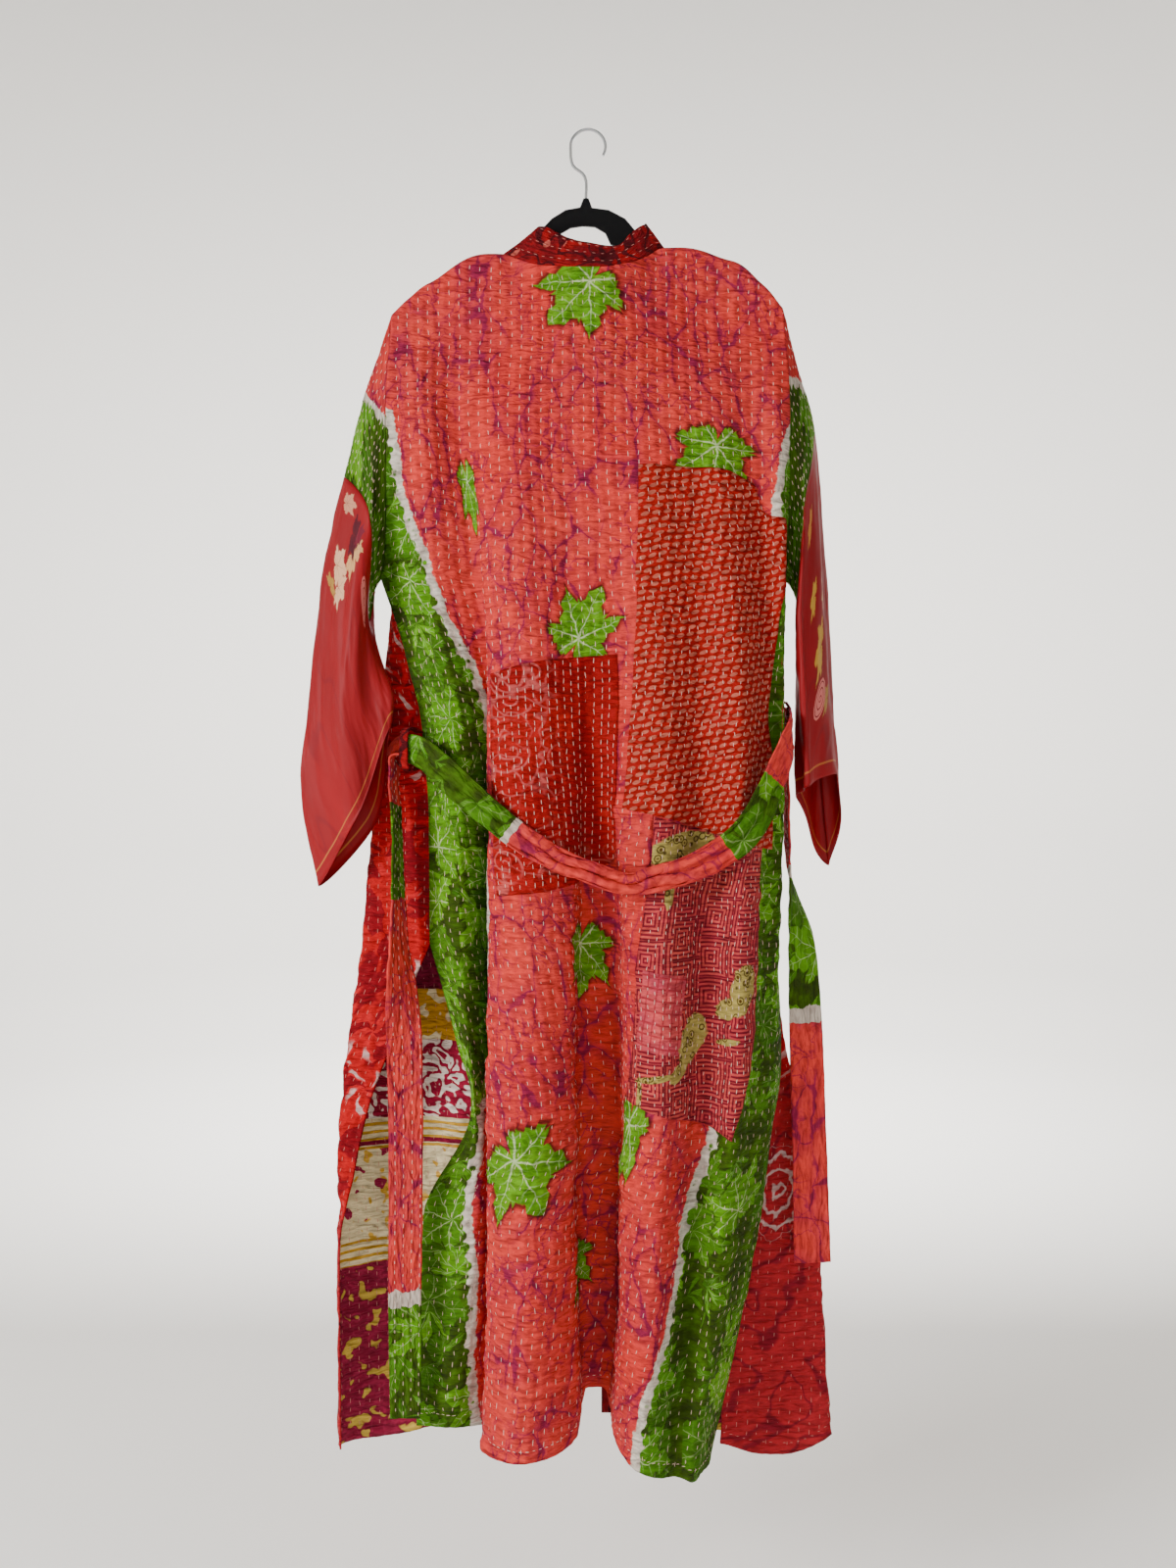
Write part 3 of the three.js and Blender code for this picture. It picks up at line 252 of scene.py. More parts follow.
class Panel:
    """One panel of the robe as a surface over its width (share 0 to 1) and height."""

    def __init__(self, name):
        self.name = name
        # Turn is the way the panel faces in y; sign points a grid's own directions outward
        self.turn = -1 if name == "back" else 1
        self.sign = 1 if name == "left" else -1
        self.levels = np.arange(-1560, -120, LEVEL_STEP)
        z = self.levels
        if name == "back":
            folds, hem = BACK_FOLDS, BACK_HEM
            edges = [side_edge("left", "back", z)], [side_edge("right", "back", z)]
        else:
            folds, hem = FRONT_FOLDS[name], FRONT_HEM[name]
            edges = [side_edge(name, "front", z)], []
        middle = [np.stack([smooth(HEIGHTS, xs, z), smooth(HEIGHTS, ys, z)], -1) for xs, ys in folds]
        line = curve_through(np.stack(edges[0] + middle + edges[1], 1))
        far = reach(line)
        self.width = far[:, -1]
        self.plan = np.stack([along_line(SHARES * f[-1], f, points) for f, points in zip(far, line)])
        self.tops = self.meet(-180.0, RIDGE["x"], RIDGE["z"])
        self.hems = self.meet(-1490.0, *hem)
        middle_row = self.plan[len(z) // 2]
        self.centre = float(np.interp(0, middle_row[:, 0], SHARES)) if name == "back" else 0.0

    def at(self, share, z):
        """x and depth of the hanging cloth, before its roll over the hanger."""
        row = np.clip((z - self.levels[0]) / LEVEL_STEP, 0, len(self.levels) - 1.001)
        col = np.clip(share * SHARE_STEPS, 0, SHARE_STEPS - 0.001)
        r, c = row.astype(int), col.astype(int)
        fr, fc = (row - r)[..., None], (col - c)[..., None]
        p = self.plan
        return ((p[r, c] * (1 - fc) + p[r, c + 1] * fc) * (1 - fr)
                + (p[r + 1, c] * (1 - fc) + p[r + 1, c + 1] * fc) * fr)

    def meet(self, start, places, heights):
        """Height at which each line of the cloth crosses an edge; start is the first guess."""
        z = np.full(len(SHARES), start)
        for _ in range(6):
            z = smooth(places, heights, self.at(SHARES, z)[:, 0])
        return z

    def point(self, share, z):
        """Point on the cloth in millimetres, rolled over the hanger at the top."""
        top = np.interp(share, SHARES, self.tops)
        top_x = self.at(share, top)[..., 0]
        inside = np.minimum(top_x - NECK[0], NECK[1] - top_x)
        radius = ROLL * np.clip(1 - inside / 20, 0, 1) if self.turn < 0 else np.full_like(top, ROLL)
        edge_y = smooth(RIDGE["x"], RIDGE["y"], top_x) if self.turn < 0 else 0.0
        drop = np.maximum(0, top - z)
        safe = np.maximum(radius, 1e-6)
        turned = np.sqrt(np.maximum(0, 1 - (1 - np.minimum(drop / safe, 1)) ** 2))
        rolled = np.where(drop < radius, turned, 1.0) * radius
        place = self.at(share, z)
        fall = np.maximum(0, drop - radius)
        ease = 1 - np.exp(-fall ** 2 / 45 ** 2)
        hang = (place[..., 1] - edge_y - self.turn * radius) * ease
        y = edge_y + self.turn * rolled + hang + self.turn * 0.15
        return np.stack([place[..., 0], y, z], -1)

    def flat(self, share, z):
        """Cloth coordinates: distance across from the middle (or side edge) and height."""
        width = np.interp(z, self.levels, self.width)
        return np.stack([(share - self.centre) * width, z], -1)


def rough(u, v, cell, seed, passes=2):
    """Even random swell over cloth coordinates, mostly between -1 and 1."""
    total = np.zeros(np.broadcast(u, v).shape)
    scale = 1.0
    for k in range(passes):
        table = np.random.default_rng(seed + k).uniform(-1, 1, (64, 64))
        a = u / cell[0] * 2 ** k + 11.3
        b = v / cell[1] * 2 ** k + 7.7
        ia, ib = np.floor(a).astype(int), np.floor(b).astype(int)
        fa, fb = a - ia, b - ib
        fa, fb = fa * fa * (3 - 2 * fa), fb * fb * (3 - 2 * fb)
        corners = [[table[(ia + i) % 64, (ib + j) % 64] for i in (0, 1)] for j in (0, 1)]
        top, low = (left * (1 - fa) + right * fa for left, right in corners)
        total += scale * (top * (1 - fb) + low * fb)
        scale *= 0.5
    return total


def normals_of(points, wrap=False):
    """Unit directions across a grid of points; wrap joins its last column to its first."""
    across = np.roll(points, -1, 1) - np.roll(points, 1, 1) if wrap else np.gradient(points, axis=1)
    return normalised(np.cross(across, np.gradient(points, axis=0)))


def facing(outs, way):
    """Directions turned over together where they point against the given way."""
    return outs * np.sign((outs * way).sum(-1).mean())


def cloth_mesh(name, points, outs, thick, flat, materials, wrap=False):
    """Thin closed wall, in metres, from a grid of outer points; the inner side takes the second material."""
    rows, cols = points.shape[:2]
    outer = points.reshape(-1, 3)
    inner = (points - outs * thick).reshape(-1, 3)
    verts = np.concatenate([outer, inner]) / 1000.0
    index = np.arange(rows * cols).reshape(rows, cols)
    if wrap:
        index = np.concatenate([index, index[:, :1]], 1)
    a, b, c, d = index[:-1, :-1], index[1:, :-1], index[1:, 1:], index[:-1, 1:]
    faces = np.stack([a, b, c, d], -1).reshape(-1, 4)
    centre = faces[len(faces) // 2]
    corners = outer[centre]
    if np.cross(corners[1] - corners[0], corners[3] - corners[0]) @ outs.reshape(-1, 3)[centre[0]] < 0:
        faces = faces[:, ::-1]
    shift = rows * cols
    lining = faces[:, ::-1] + shift
    rims = []
    lines = [index[0], index[-1]] if wrap else [index[0], index[-1], index[:, 0], index[:, -1]]
    for line in lines:
        rims.append(np.stack([line[:-1], line[1:], line[1:] + shift, line[:-1] + shift], -1))
    rim = np.concatenate(rims)
    mesh = bpy.data.meshes.new(name)
    mesh.from_pydata(verts.tolist(), [], np.concatenate([faces, lining, rim]).tolist())
    for material in materials:
        mesh.materials.append(material)
    which = np.zeros(len(faces) + len(lining) + len(rim), np.int32)
    which[len(faces):len(faces) + len(lining)] = len(materials) - 1
    mesh.polygons.foreach_set("material_index", which)
    layer = mesh.uv_layers.new(name="flat")
    coords = np.concatenate([flat.reshape(-1, 2)] * 2) / 1000.0
    loops = np.empty(len(mesh.loops), np.int32)
    mesh.loops.foreach_get("vertex_index", loops)
    layer.data.foreach_set("uv", coords[loops].ravel())
    mesh.polygons.foreach_set("use_smooth", np.ones(len(mesh.polygons), bool))
    mesh.validate()
    mesh.update()
    piece = bpy.data.objects.new(name, mesh)
    bpy.context.collection.objects.link(piece)
    bpy.context.view_layer.objects.active = piece
    if not wrap:
        work = bmesh.new()
        work.from_mesh(mesh)
        bmesh.ops.recalc_face_normals(work, faces=work.faces)
        work.to_mesh(mesh)
        work.free()
    return piece


def relief(u, v, seed, low=1.0):
    """Height in millimetres of the small puckers and creases of hand-quilted cloth."""
    rows = 0.28 * np.cos(2 * np.pi * u / ROW_PITCH + 0.7 * rough(u, v, (40, 90), seed))
    pucker = 0.42 * rough(u, v, (11, 9), seed + 5)
    crease = 2.1 * rough(u, v, (58, 16), seed + 9) * low
    swell = 1.7 * rough(u, v, (46, 120), seed + 13)
    return rows + pucker + crease + swell - RELIEF_SINK


def panel_grid(panel, share, rows):
    """Shares and heights of rows of points from the top edge to the hem."""
    top = np.interp(share, SHARES, panel.tops)
    hem = np.interp(share, SHARES, panel.hems)
    roll = top[None, :] - ROLL * (1 - np.cos(np.linspace(0, np.pi / 2, 5)))[:, None]
    t = np.linspace(0, 1, rows + 1)[1:, None]
    z = np.concatenate([roll, (top - ROLL)[None, :] * (1 - t) + hem[None, :] * t])
    return np.broadcast_to(share, z.shape), z


def panel_relief(panel, share, z):
    """Small relief of a panel, none at its seams and less near the shoulders."""
    edge = np.clip(np.minimum(share, 1 - share) * 40, 0, 1)
    fade = np.clip((np.interp(share, SHARES, panel.tops) - z) / 30, 0, 1) * edge
    low = np.clip((-500 - z) / 500, 0.25, 1)
    flat = panel.flat(share, z)
    return relief(flat[..., 0], flat[..., 1], SEEDS[panel.name], low) * fade


def make_panel(name, panel, columns, rows, materials):
    """Cloth of the back or a front, and its cloth coordinates."""
    s, z = panel_grid(panel, np.linspace(0, 1, columns + 1), rows)
    base = panel.point(s, z)
    flat = panel.flat(s, z)
    outs = normals_of(base) * panel.sign
    points = base + outs * panel_relief(panel, s, z)[..., None]
    outs = normals_of(points) * panel.sign
    return cloth_mesh(name + "_cloth", points, outs, QUILT_THICK, flat, materials), flat


back_panel = Panel("back")
front_panels = {"left": Panel("left"), "right": Panel("right")}


def strip_cloth(name, middles, acrosses, widths, thick, materials, columns, seed, curl=0.0, rise=0.4,
                crumple=0.0):
    """Flat strip swept through its middle points; u runs across it and v along it."""
    along = normalised(np.gradient(middles, axis=0))
    across = normalised(acrosses - along * (acrosses * along).sum(-1, keepdims=True))
    out = np.cross(across, along)
    far = reach(middles)
    t = np.linspace(-0.5, 0.5, columns + 1)
    u = t[:, None] * widths[None, :]
    v = np.broadcast_to(far[None, :], u.shape)
    bump = rise * rough(u, v, (14, 9), seed) + curl * (4 * t[:, None] ** 2 - 0.5)
    bump = bump + crumple * np.cos(2 * np.pi * 2.3 * t[:, None] + 2.2 * rough(0 * v, v, (50, 34), seed + 4))
    points = middles[None] + across[None] * u[..., None] + out[None] * (thick / 2 + bump)[..., None]
    outs = facing(normals_of(points), out[None])
    return cloth_mesh(name, points, outs, thick, np.stack([u, v], -1), materials), points, outs


def sleeve_grid(side):
    """Sleeve from the armhole to the cuff: points (around, along) in millimetres."""
    half = SLEEVE_AROUND // 2
    turn = {"left": 0.0, "right": 1.0}[side]
    halves = []
    for panel, share in ((back_panel, turn), (front_panels[side], 0.0)):
        top = float(np.interp(share, SHARES, panel.tops))
        z = np.concatenate([top - ROLL * (1 - np.cos(np.linspace(0, np.pi / 2, 9))),
                            np.linspace(top - ROLL, UNDERARM, 80)[1:]])
        line = panel.point(np.full(len(z), share), z)
        far = reach(line)
        halves.append(along_line(np.linspace(0, far[-1], half + 1), far, line))
    armhole = np.concatenate([halves[0][:-1], halves[1][::-1][:-1]])
    share = np.arange(SLEEVE_AROUND) / SLEEVE_AROUND
    rings = []
    count, deep = SLEEVE_FOLDS[side]
    for r, ring in enumerate(RINGS[side]):
        loop = curve_through(np.array(ring, float), closed=True, per=SLEEVE_AROUND // 4)
        tangent = np.roll(loop, -1, 0) - np.roll(loop, 1, 0)
        outward = normalised(np.stack([tangent[:, 1], -tangent[:, 0], 0 * share], -1))
        wave = deep * min(1, r / 3) * np.sin(2 * np.pi * count * share + r * 0.5)
        rings.append(loop + outward * wave[:, None])
    knots = np.stack([armhole] + rings, 1)
    return curve_through(knots, per=SLEEVE_ALONG, power=0)


def make_sleeve(side, cap_material, end_material):
    """Quilted cap and silk end of a sleeve, each with its points, directions out and cloth coordinates."""
    around = sleeve_grid(side)
    grid = np.swapaxes(around, 0, 1)
    far = reach(around).T
    girth = np.linalg.norm(np.roll(grid, -1, 1) - grid, axis=-1).sum(1).mean()
    share = np.arange(SLEEVE_AROUND) / SLEEVE_AROUND
    u = np.broadcast_to(((share + 0.25) % 1.0 - 0.5) * girth, far.shape)
    join = 2 * SLEEVE_ALONG
    made = []
    for part, rows, thick, material in (("cap", slice(0, join + 1), QUILT_THICK, cap_material),
                                        ("end", slice(join, None), SILK_THICK, end_material)):
        base, uu, vv = grid[rows], u[rows], -far[rows]
        centre = base.mean(1, keepdims=True)
        outs = facing(normals_of(base, True), base - centre)
        away = np.minimum(np.arange(len(base)), np.arange(len(base))[::-1])
        ease = np.clip(away / (5.0), 0, 1)[:, None]
        if part == "cap":
            height = relief(uu, vv, {"left": 71, "right": 73}[side], 0.5) * ease * 0.8
        else:
            seed = {"left": 81, "right": 87}[side]
            height = (1.6 * rough(uu, vv, (26, 90), seed) + 0.7 * rough(uu, vv, (12, 30), seed + 3)
                      + 0.35 * rough(uu, vv, (8, 8), seed + 6)) * ease
        points = base + outs * height[..., None]
        if part == "end":
            points[0] = points[0] + normalised(points[1] - points[0]) * SEAM_GAP
        outs = facing(normals_of(points, True), points - centre)
        flat = np.stack([uu, vv], -1)
        piece = cloth_mesh(f"sleeve_{part}_{side}_cloth", points, outs, thick, flat, [material], wrap=True)
        made.append((piece, points, outs, flat))
    return made


def band_line():
    """Seam and free edge of the neck band, from the left hem up, round the neck and down to the right."""
    seams, edges = [], []

    def front(side):
        """The same down one front; the right one starts as narrow as the collar's end."""
        panel = front_panels[side]
        z = panel_grid(panel, np.array([1.0]), 320)[1][:, 0]
        seam = panel.point(np.ones(len(z)), z)
        over = smooth(BAND["z"], BAND["over"], z)
        if side == "right":
            narrow = abs(COLLAR["over"][-1])
            over = narrow + (over - narrow) * np.clip((z[0] - z) / 9, 0, 1)
        way = 1 if side == "left" else -1
        out, up = (smooth(BAND["z"], BAND[key], z) for key in ("out", "up"))
        return seam, seam + np.stack([way * over, out, up], -1)

    seam, edge = front("left")
    seams.append(seam[::-1])
    edges.append(edge[::-1])
    inner = np.linspace(0, 1, 400)
    inner_x = back_panel.at(inner, np.interp(inner, SHARES, back_panel.tops))[..., 0]
    inner = inner[(inner_x > NECK[0] + 3) & (inner_x < NECK[1] - 3)]
    top = np.interp(inner, SHARES, back_panel.tops)
    seam = back_panel.point(inner, top)
    x = seam[:, 0]
    seams.append(seam)
    edges.append(np.stack([x + smooth(COLLAR["x"], COLLAR["over"], x), smooth(COLLAR["x"], COLLAR["y"], x),
                           smooth(COLLAR["x"], COLLAR["z"], x)], -1))
    seam, edge = front("right")
    seams.append(seam)
    edges.append(edge)
    return np.concatenate(seams), np.concatenate(edges)


def make_band(material):
    """Neck band as a grid of points from its seam to its free edge."""
    seam, edge = band_line()
    start = seam + normalised(edge - seam) * 0.4
    t = np.linspace(0, 1, BAND_ROWS + 1)[:, None, None]
    low = seam[:, 2] < -1000

    def outward(points):
        """Directions away from the body, judged where the band hangs straight."""
        outs = normals_of(points)
        return outs * np.sign(outs[BAND_ROWS // 2][low][:, 1].mean())

    points = start[None] * (1 - t) + edge[None] * t
    across = t[..., 0]
    u = np.broadcast_to(reach(seam)[None], points.shape[:2])
    v = across * np.linalg.norm(edge - start, axis=-1)[None]
    swell = 0.5 * rough(u, v, (30, 18), 41) + 0.3 * rough(u, v, (9, 7), 43)
    points = points + outward(points) * (swell * np.sin(np.pi * across))[..., None]
    outs = outward(points)
    piece = cloth_mesh("neck_band_cloth", points, outs, QUILT_THICK, np.stack([u, v], -1), [material])
    return piece, points, outs


def cloth_at(panel, share, z, lift):
    """A place at some height over a panel's finished outer surface, and the direction out."""
    base = panel.point(share, z)
    across = panel.point(share + 0.004, z) - panel.point(share - 0.004, z)
    down = panel.point(share, z - 3) - panel.point(share, z + 3)
    out = normalised(np.cross(across, down)) * panel.sign
    return base + out * (panel_relief(panel, share, z) + lift)[..., None], out


# Colours and shader tools

def linear(code):
    """Linear colour from a six-figure colour code."""
    parts = [int(code[k:k + 2], 16) / 255 for k in (1, 3, 5)]
    return tuple(c / 12.92 if c <= 0.04045 else ((c + 0.055) / 1.055) ** 2.4 for c in parts) + (1.0,)


def maths(kind, swapped=False):
    """Method that adds one Math node to the values it is given; swapped turns their order round."""
    def method(self, *others):
        values = [self, *others]
        return self.paint.node("ShaderNodeMath", values[::-1] if swapped else values, operation=kind)
    return method


class Value:
    """A shader value that takes Python's own operators."""

    def __init__(self, paint, socket):
        self.paint, self.socket = paint, socket

    __add__, __radd__ = maths("ADD"), maths("ADD", True)
    __sub__, __rsub__ = maths("SUBTRACT"), maths("SUBTRACT", True)
    __mul__, __rmul__ = maths("MULTIPLY"), maths("MULTIPLY", True)
    __truediv__, __rtruediv__ = maths("DIVIDE"), maths("DIVIDE", True)
    __lt__, __gt__ = maths("LESS_THAN"), maths("GREATER_THAN")
    __abs__ = maths("ABSOLUTE")
    root, sine, cosine, part, floor = map(maths, ("SQRT", "SINE", "COSINE", "FRACT", "FLOOR"))
    least, most, angle_over = map(maths, ("MINIMUM", "MAXIMUM", "ARCTAN2"))

    def __neg__(self):
        return self * -1.0

    def rise(self, low, high):
        """0 below low, 1 above high, straight between."""
        return self.paint.node("ShaderNodeMapRange", {"Value": self, "From Min": low, "From Max": high})


class Paint:
    """One cloth print or finish, painted in the cloth's own flat coordinates in metres."""

    def __init__(self, name, rough_value=0.9):
        self.material = bpy.data.materials.new(name)
        self.material.use_nodes = True
        self.tree = self.material.node_tree
        self.shader = self.tree.nodes["Principled BSDF"]
        self.shader.inputs["Roughness"].default_value = rough_value
        self.shader.inputs["Specular IOR Level"].default_value = 0.1

    def node(self, kind, inputs=(), out=0, **settings):
        """New node with its settings, then the values or links of its sockets; gives one output."""
        made = self.tree.nodes.new(kind)
        for key, value in settings.items():
            setattr(made, key, value)
        items = inputs.items() if isinstance(inputs, dict) else enumerate(inputs)
        for key, value in items:
            socket = made.inputs[key]
            if isinstance(value, Value):
                self.tree.links.new(value.socket, socket)
            else:
                socket.default_value = value
        return Value(self, made.outputs[out])

    def flat(self):
        return self.node("ShaderNodeUVMap", uv_map="flat")

    def attribute(self, name):
        return self.node("ShaderNodeAttribute", out="Fac", attribute_name=name)

    def split(self, vector):
        made = self.tree.nodes.new("ShaderNodeSeparateXYZ")
        self.tree.links.new(vector.socket, made.inputs[0])
        return [Value(self, made.outputs[k]) for k in range(3)]

    def join(self, x, y, z=0.0):
        return self.node("ShaderNodeCombineXYZ", [x, y, z])

    def vector(self, kind, *inputs, out=0):
        return self.node("ShaderNodeVectorMath", list(inputs), operation=kind, out=out)

    def mapped(self, vector, scale=(1, 1, 1), turn=0.0, at=(0, 0, 0), kind="POINT"):
        """Coordinates scaled, turned by an angle in degrees and moved."""
        return self.node("ShaderNodeMapping", {"Vector": vector, "Location": at, "Scale": scale,
                                               "Rotation": (0, 0, math.radians(turn))}, vector_type=kind)

    def placed(self, vector, u, v, turn, wide, tall):
        """Coordinates seen from a place, turned, that run from -1 to 1 over a shape's width and height."""
        return self.mapped(vector, (wide, tall, 1), turn, (u, v, 0), "TEXTURE")

    def placed_mm(self, flat, u, v, turn, wide, tall):
        """The same from sizes in millimetres, on cloth coordinates in metres."""
        return self.placed(flat, u / 1000, v / 1000, turn, wide / 1000, tall / 1000)

    def noise(self, vector, scale, detail=2.0, roughness=0.5, out=0):
        return self.node("ShaderNodeTexNoise", {"Vector": vector, "Scale": scale, "Detail": detail,
                                                "Roughness": roughness}, out=out)

    def cells(self, vector, scale, feature="F1", out="Distance", random=1.0):
        return self.node("ShaderNodeTexVoronoi", {"Vector": vector, "Scale": scale, "Randomness": random},
                         out=out, feature=feature)

    def mix(self, factor, first, second):
        """Colour between two colours, which are links or colour codes."""
        made = self.tree.nodes.new("ShaderNodeMix")
        made.data_type = "RGBA"
        for slot, value in zip((made.inputs[0], made.inputs[6], made.inputs[7]), (factor, first, second)):
            if isinstance(value, Value):
                self.tree.links.new(value.socket, slot)
            else:
                slot.default_value = linear(value) if isinstance(value, str) else value
        return Value(self, made.outputs[2])

    def wobbled(self, vector, scale, amount, detail=2.0):
        """Coordinates pushed about in the plane by a soft noise."""
        shift = self.vector("SUBTRACT", self.noise(vector, scale, detail, out="Color"), (0.5, 0.5, 0.5))
        return self.vector("MULTIPLY_ADD", shift, (amount, amount, 0), vector)

    def bump(self, height, strength=0.4, distance=0.001):
        made = self.node("ShaderNodeBump", {"Height": height, "Strength": strength, "Distance": distance})
        self.tree.links.new(made.socket, self.shader.inputs["Normal"])

    def colour(self, value):
        if isinstance(value, Value):
            self.tree.links.new(value.socket, self.shader.inputs["Base Color"])
        else:
            self.shader.inputs["Base Color"].default_value = linear(value)
        return self

    def quilted(self, vector, strength=0.85):
        """Small relief of hand quilting, with painted shade darkening the colour in its creases and
        crinkles.
        """
        u, _, _ = self.split(self.wobbled(vector, 30, 0.004))
        fine = self.noise(self.mapped(vector, (60, 190, 1)), 1.0, 3.0)
        crinkle = abs(self.noise(self.mapped(vector, (24, 85, 1)), 1.0, 2.0) - 0.5).rise(0.0, 0.12)
        rows = (u * (2000 * math.pi / ROW_PITCH)).cosine()
        weave = self.noise(vector, 900, 1.0)
        self.bump(rows * 0.14 + fine * 2.2 + crinkle * 1.1 + weave * 0.14, strength, 0.0026)
        base = self.shader.inputs["Base Color"]
        # Painted shade: where the quilting's creases and crinkles sink, the colour is mixed toward
        # near-black red #1c0404
        crease_shade = (1.0 - fine.rise(0.38, 0.56)) * 0.27 + (1.0 - crinkle) * 0.12
        self.colour(self.mix(crease_shade, Value(self, base.links[0].from_socket), "#1c0404"))

    def cloth(self, colour, vector, strength=0.85):
        """The finished material: its colour and the relief of hand quilting, with painted shade in its
        creases.
        """
        self.colour(colour)
        self.quilted(vector, strength)
        return self.material


# Lobes of a leaf: direction from the tip, length and how sharply it narrows
LEAF_LOBES = [(0.0, 1.25, 1.7), (0.82, 1.1, 1.6), (1.7, 0.85, 1.2), (2.5, 0.5, 0.6)]


def leaf_shape(paint, local):
    """A toothed vine leaf in its own coordinates, tip along +x: how far inside, and its pale veins."""
    local = paint.wobbled(local, 2.4, 0.22, 3.0)
    x, y, _ = paint.split(local)
    angle = abs(y.angle_over(x))
    far = paint.vector("LENGTH", local, out="Value")
    edge, vein = None, None
    for turn, length, sharp in LEAF_LOBES:
        away = abs(angle - turn)
        lobe = length / (away * sharp + 1.0)
        off = away.least(1.57).sine() * far
        line = 1.0 - (off + far * 0.016).rise(0.008, 0.026)
        side = 1.0 - abs((far * 4.5 - away * 2.0).part() - 0.5).rise(0.04, 0.09)
        line = line.most(side * 0.35 * (1.0 - away.rise(0.1, 0.42)))
        line = line * (1.0 - far.rise(length * 0.8, length * 0.95))
        edge = lobe if edge is None else edge.most(lobe)
        vein = line if vein is None else vein.most(line)
    saw = (angle / 0.27).part()
    edge = edge * (saw * 0.17 + 0.91) * (1.0 - angle.rise(2.85, 3.14) * 0.7)
    return edge - far, vein


def leaf_layer(paint, flat, size, length):
    """One scattering of whole leaves: how far inside the nearest, its veins and its own shade."""
    place = paint.cells(flat, 1.0 / size, out="Position", random=0.7)
    spin, shade, _ = paint.split(paint.cells(flat, 1.0 / size, out="Color", random=0.7))
    away = paint.vector("SUBTRACT", flat, place)
    turned = paint.node("ShaderNodeVectorRotate", {"Vector": away, "Angle": spin * (2 * math.pi)},
                        rotation_type="Z_AXIS")
    inside, vein = leaf_shape(paint, paint.vector("MULTIPLY", turned, (1.0 / length,) * 3))
    return inside, vein, shade


def leaf_field(paint, flat, size=0.078):
    """Leaves lying over each other with dark olive between, as on the border cloth."""
    colour = paint.mix(paint.noise(flat, 40, 3.0).rise(0.42, 0.62), "#2a3c08", "#3d600a")
    under = paint.mapped(flat, at=(0.031, 0.017, 0))
    for where, width, length, dark, bright, pale in (
            (under, size * 0.86, size * 0.7, "#305a05", "#447508", "#829a58"),
            (flat, size, size * 0.66, "#407506", "#588f0c", "#b0c288")):
        inside, vein, shade = leaf_layer(paint, where, width, length)
        colour = paint.mix(inside.rise(-0.12, 0.0) * 0.7, colour, "#28380a")
        body = paint.mix(vein * 0.85, paint.mix(shade, dark, bright), pale)
        colour = paint.mix(inside.rise(0.0, 0.03), colour, body)
    return paint.mix(paint.noise(flat, 34, 4.0).rise(0.5, 0.72) * 0.45, colour, "#2c4a08")


def batik(paint, flat):
    """Coral cloth with the dark branching lines of cracked wax."""
    tone = paint.mix(paint.noise(flat, 7, 4.0).rise(0.3, 0.7), "#c02e2a", "#cc3b34")
    bent = paint.wobbled(paint.wobbled(flat, 8, 0.06, 1.0), 42, 0.018, 5.0)
    line = paint.cells(paint.mapped(bent, (1.0, 0.45, 1.0)), 29, "DISTANCE_TO_EDGE")
    keep = paint.noise(flat, 11, 3.0).rise(0.37, 0.5)
    width = 0.018 + paint.noise(flat, 52, 2.0).rise(0.46, 0.76) * 0.12
    ink = (1.0 - (line / width).rise(0.35, 1.0)) * keep
    fine = paint.cells(paint.wobbled(flat, 55, 0.03, 5.0), 52, "DISTANCE_TO_EDGE")
    thin = (1.0 - (fine / 0.05).rise(0.25, 1.0)) * paint.noise(flat, 16, 2.0).rise(0.46, 0.56) * 0.85
    halo = (1.0 - line.rise(0.0, 0.2)) * keep * 0.4
    stain = paint.noise(flat, 24, 5.0, 0.7).rise(0.6, 0.75) * keep * 0.45
    return paint.mix(ink.most(thin).most(stain).most(halo) * 0.88, tone, "#70123a")


def nearest_leaf(paint, flat, leaves):
    """Coordinates within the nearest of a few leaves, each given by place, turn, length and breadth."""
    best, local = None, None
    for leaf in leaves:
        here = paint.placed_mm(flat, *leaf)
        far = paint.vector("LENGTH", here, out="Value")
        if best is None:
            best, local = far, here
            continue
        closer = far < best
        made = paint.tree.nodes.new("ShaderNodeMix")
        made.data_type = "VECTOR"
        for slot, value in ((made.inputs[0], closer), (made.inputs[4], local), (made.inputs[5], here)):
            paint.tree.links.new(value.socket, slot)
        local = Value(paint, made.outputs[1])
        best = best.least(far)
    return local


# Leaves on the back: across, height, direction of the tip in degrees, length and breadth in millimetres
BACK_LEAVES = [
    (14, -189, 224, 60, 58),
    (155, -380, -100, 56, 58),
    (-134, -414, -86, 55, 12),
    (-12, -594, 62, 58, 44),
    (-5, -935, -98, 56, 44),
    (-140, -1160, -48, 68, 62),
    (79, -1126, -100, 80, 34),
    (-2, -1292, -84, 46, 38),
]


def stripe(paint, flat, field, cloth):
    """Leafy border outside the border's edge, coral inside it, and a torn-looking pale stripe between."""
    edge = paint.attribute("border")
    rough_in = (paint.noise(flat, 150, 2.0) - 0.5) * 10.0 + (paint.noise(flat, 45, 1.0) - 0.5) * 8.0
    rough_out = (paint.cells(flat, 105) - 0.45) * 15.0
    pale = paint.mix(paint.noise(flat, 70, 3.0).rise(0.4, 0.7), "#c9bfb0", "#a3968a")
    colour = paint.mix((edge + rough_in).rise(0.0, 1.5), pale, cloth)
    return paint.mix((edge + rough_out).rise(-10.0, -8.0), field, colour)


